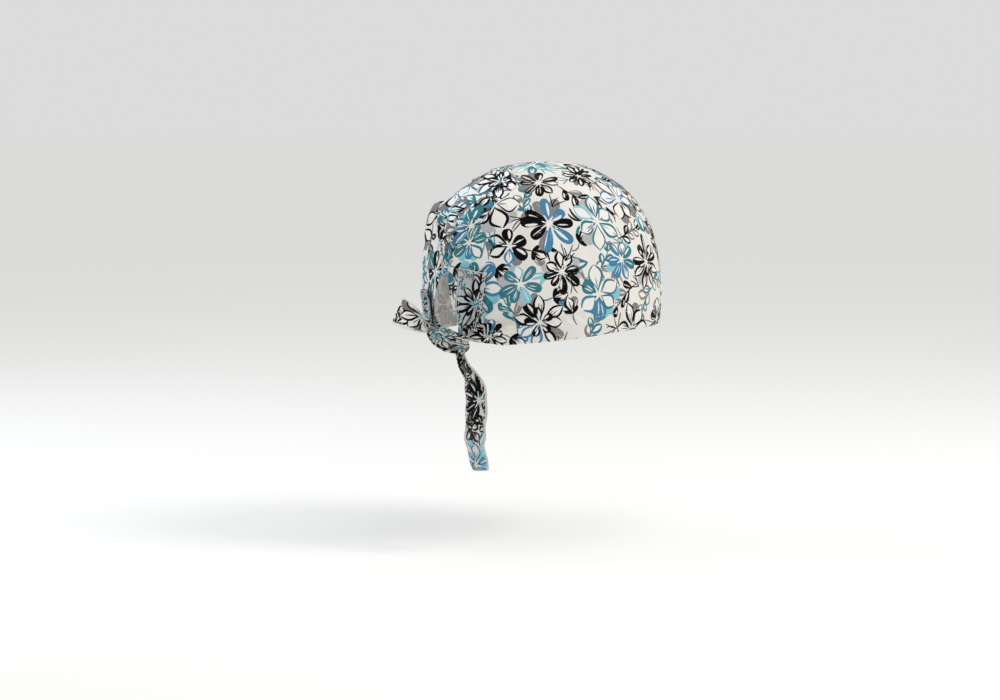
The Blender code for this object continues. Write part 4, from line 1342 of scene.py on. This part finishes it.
# The photograph's camera, a pale floor below the hanging end and soft studio light
AZIMUTH, ELEVATION = 230, 5
DISTANCE = 1.845
LENS, SENSOR = 85.0, 36.0
SHIFT_X, SHIFT_Y = -0.0435, -0.019


def towards(azimuth, elevation):
    """Unit vector from the middle to a camera or light: degrees round from the front, and up."""
    a, e = math.radians(azimuth), math.radians(elevation)
    return np.array([math.sin(a) * math.cos(e), -math.cos(a) * math.cos(e), math.sin(e)])


def aim(thing, place, target=(0, 0, 0)):
    """Puts a camera or light at place with its -Z axis on target and its top up."""
    back = unit(np.asarray(place, float) - np.asarray(target, float))
    right = unit(np.cross([0.0, 0.0, 1.0], back))
    up = np.cross(back, right)
    matrix = np.eye(4)
    matrix[:3, 0], matrix[:3, 1], matrix[:3, 2], matrix[:3, 3] = right, up, back, place
    thing.matrix_world = mathutils.Matrix(matrix.tolist())


camera_data = bpy.data.cameras.new("camera")
camera_data.lens = LENS
camera_data.sensor_width = SENSOR
camera_data.shift_x, camera_data.shift_y = SHIFT_X, SHIFT_Y
camera = add_object("camera", camera_data)
aim(camera, DISTANCE * towards(AZIMUTH, ELEVATION))
bpy.context.scene.camera = camera

# Backdrop paper: a disc below the hanging end, so wide that its edge lies at the horizon
FLOOR = cad_low[2] - 0.060
FLOOR_RADIUS = 60.0
angle = np.linspace(0, 2 * math.pi, 96, endpoint=False)
floor_mesh = bpy.data.meshes.new("floor")
floor_mesh.from_pydata([(FLOOR_RADIUS * math.cos(a), FLOOR_RADIUS * math.sin(a), FLOOR) for a in angle], [],
                       [list(range(len(angle)))])
# Uncoated paper, pressed smooth: almost white, without gloss
paper, _, _ = new_material("pale_backdrop_paper", Base_Color=colour("#F1F1F0"), Roughness=0.95,
                           Specular_IOR_Level=0.1)
floor_mesh.materials.append(paper)
floor = add_object("floor", floor_mesh)

# Studio dome: white all round, brighter overhead
world = bpy.data.worlds.new("studio")
world.use_nodes = True
dome = world.node_tree
height = add(dome, "ShaderNodeSeparateXYZ", {0: add(dome, "ShaderNodeTexCoord", {}).outputs["Generated"]})
overhead = add(dome, "ShaderNodeMapRange", {0: height.outputs[2], 1: 0.05, 2: 0.9, 3: 0.0, 4: 1.0})
white = add(dome, "ShaderNodeMix", {0: overhead, 6: (0.845, 0.85, 0.85, 1), 7: (1.0, 0.995, 0.98, 1)},
            data_type="RGBA")
dome.links.new(white.outputs[2], dome.nodes["Background"].inputs["Color"])
dome.nodes["Background"].inputs["Strength"].default_value = 0.84
bpy.context.scene.world = world
bpy.context.scene.view_settings.view_transform = "Standard"

# Soft boxes
Box = namedtuple("Box", "name azimuth elevation away size power tint")
for box in (Box("key", 302, 46, 1.5, 0.5, 8.0, "#FFF9F1"),
            Box("top", 270, 74, 1.4, 0.8, 2.3, "#EFF5FA"),
            Box("rim", 128, 32, 1.5, 0.6, 5.6, "#E2EEF8")):
    light_data = bpy.data.lights.new(box.name, "AREA")
    light_data.size = box.size
    light_data.energy = box.power
    light_data.color = colour(box.tint)[:3]
    aim(add_object(box.name, light_data), box.away * towards(box.azimuth, box.elevation))
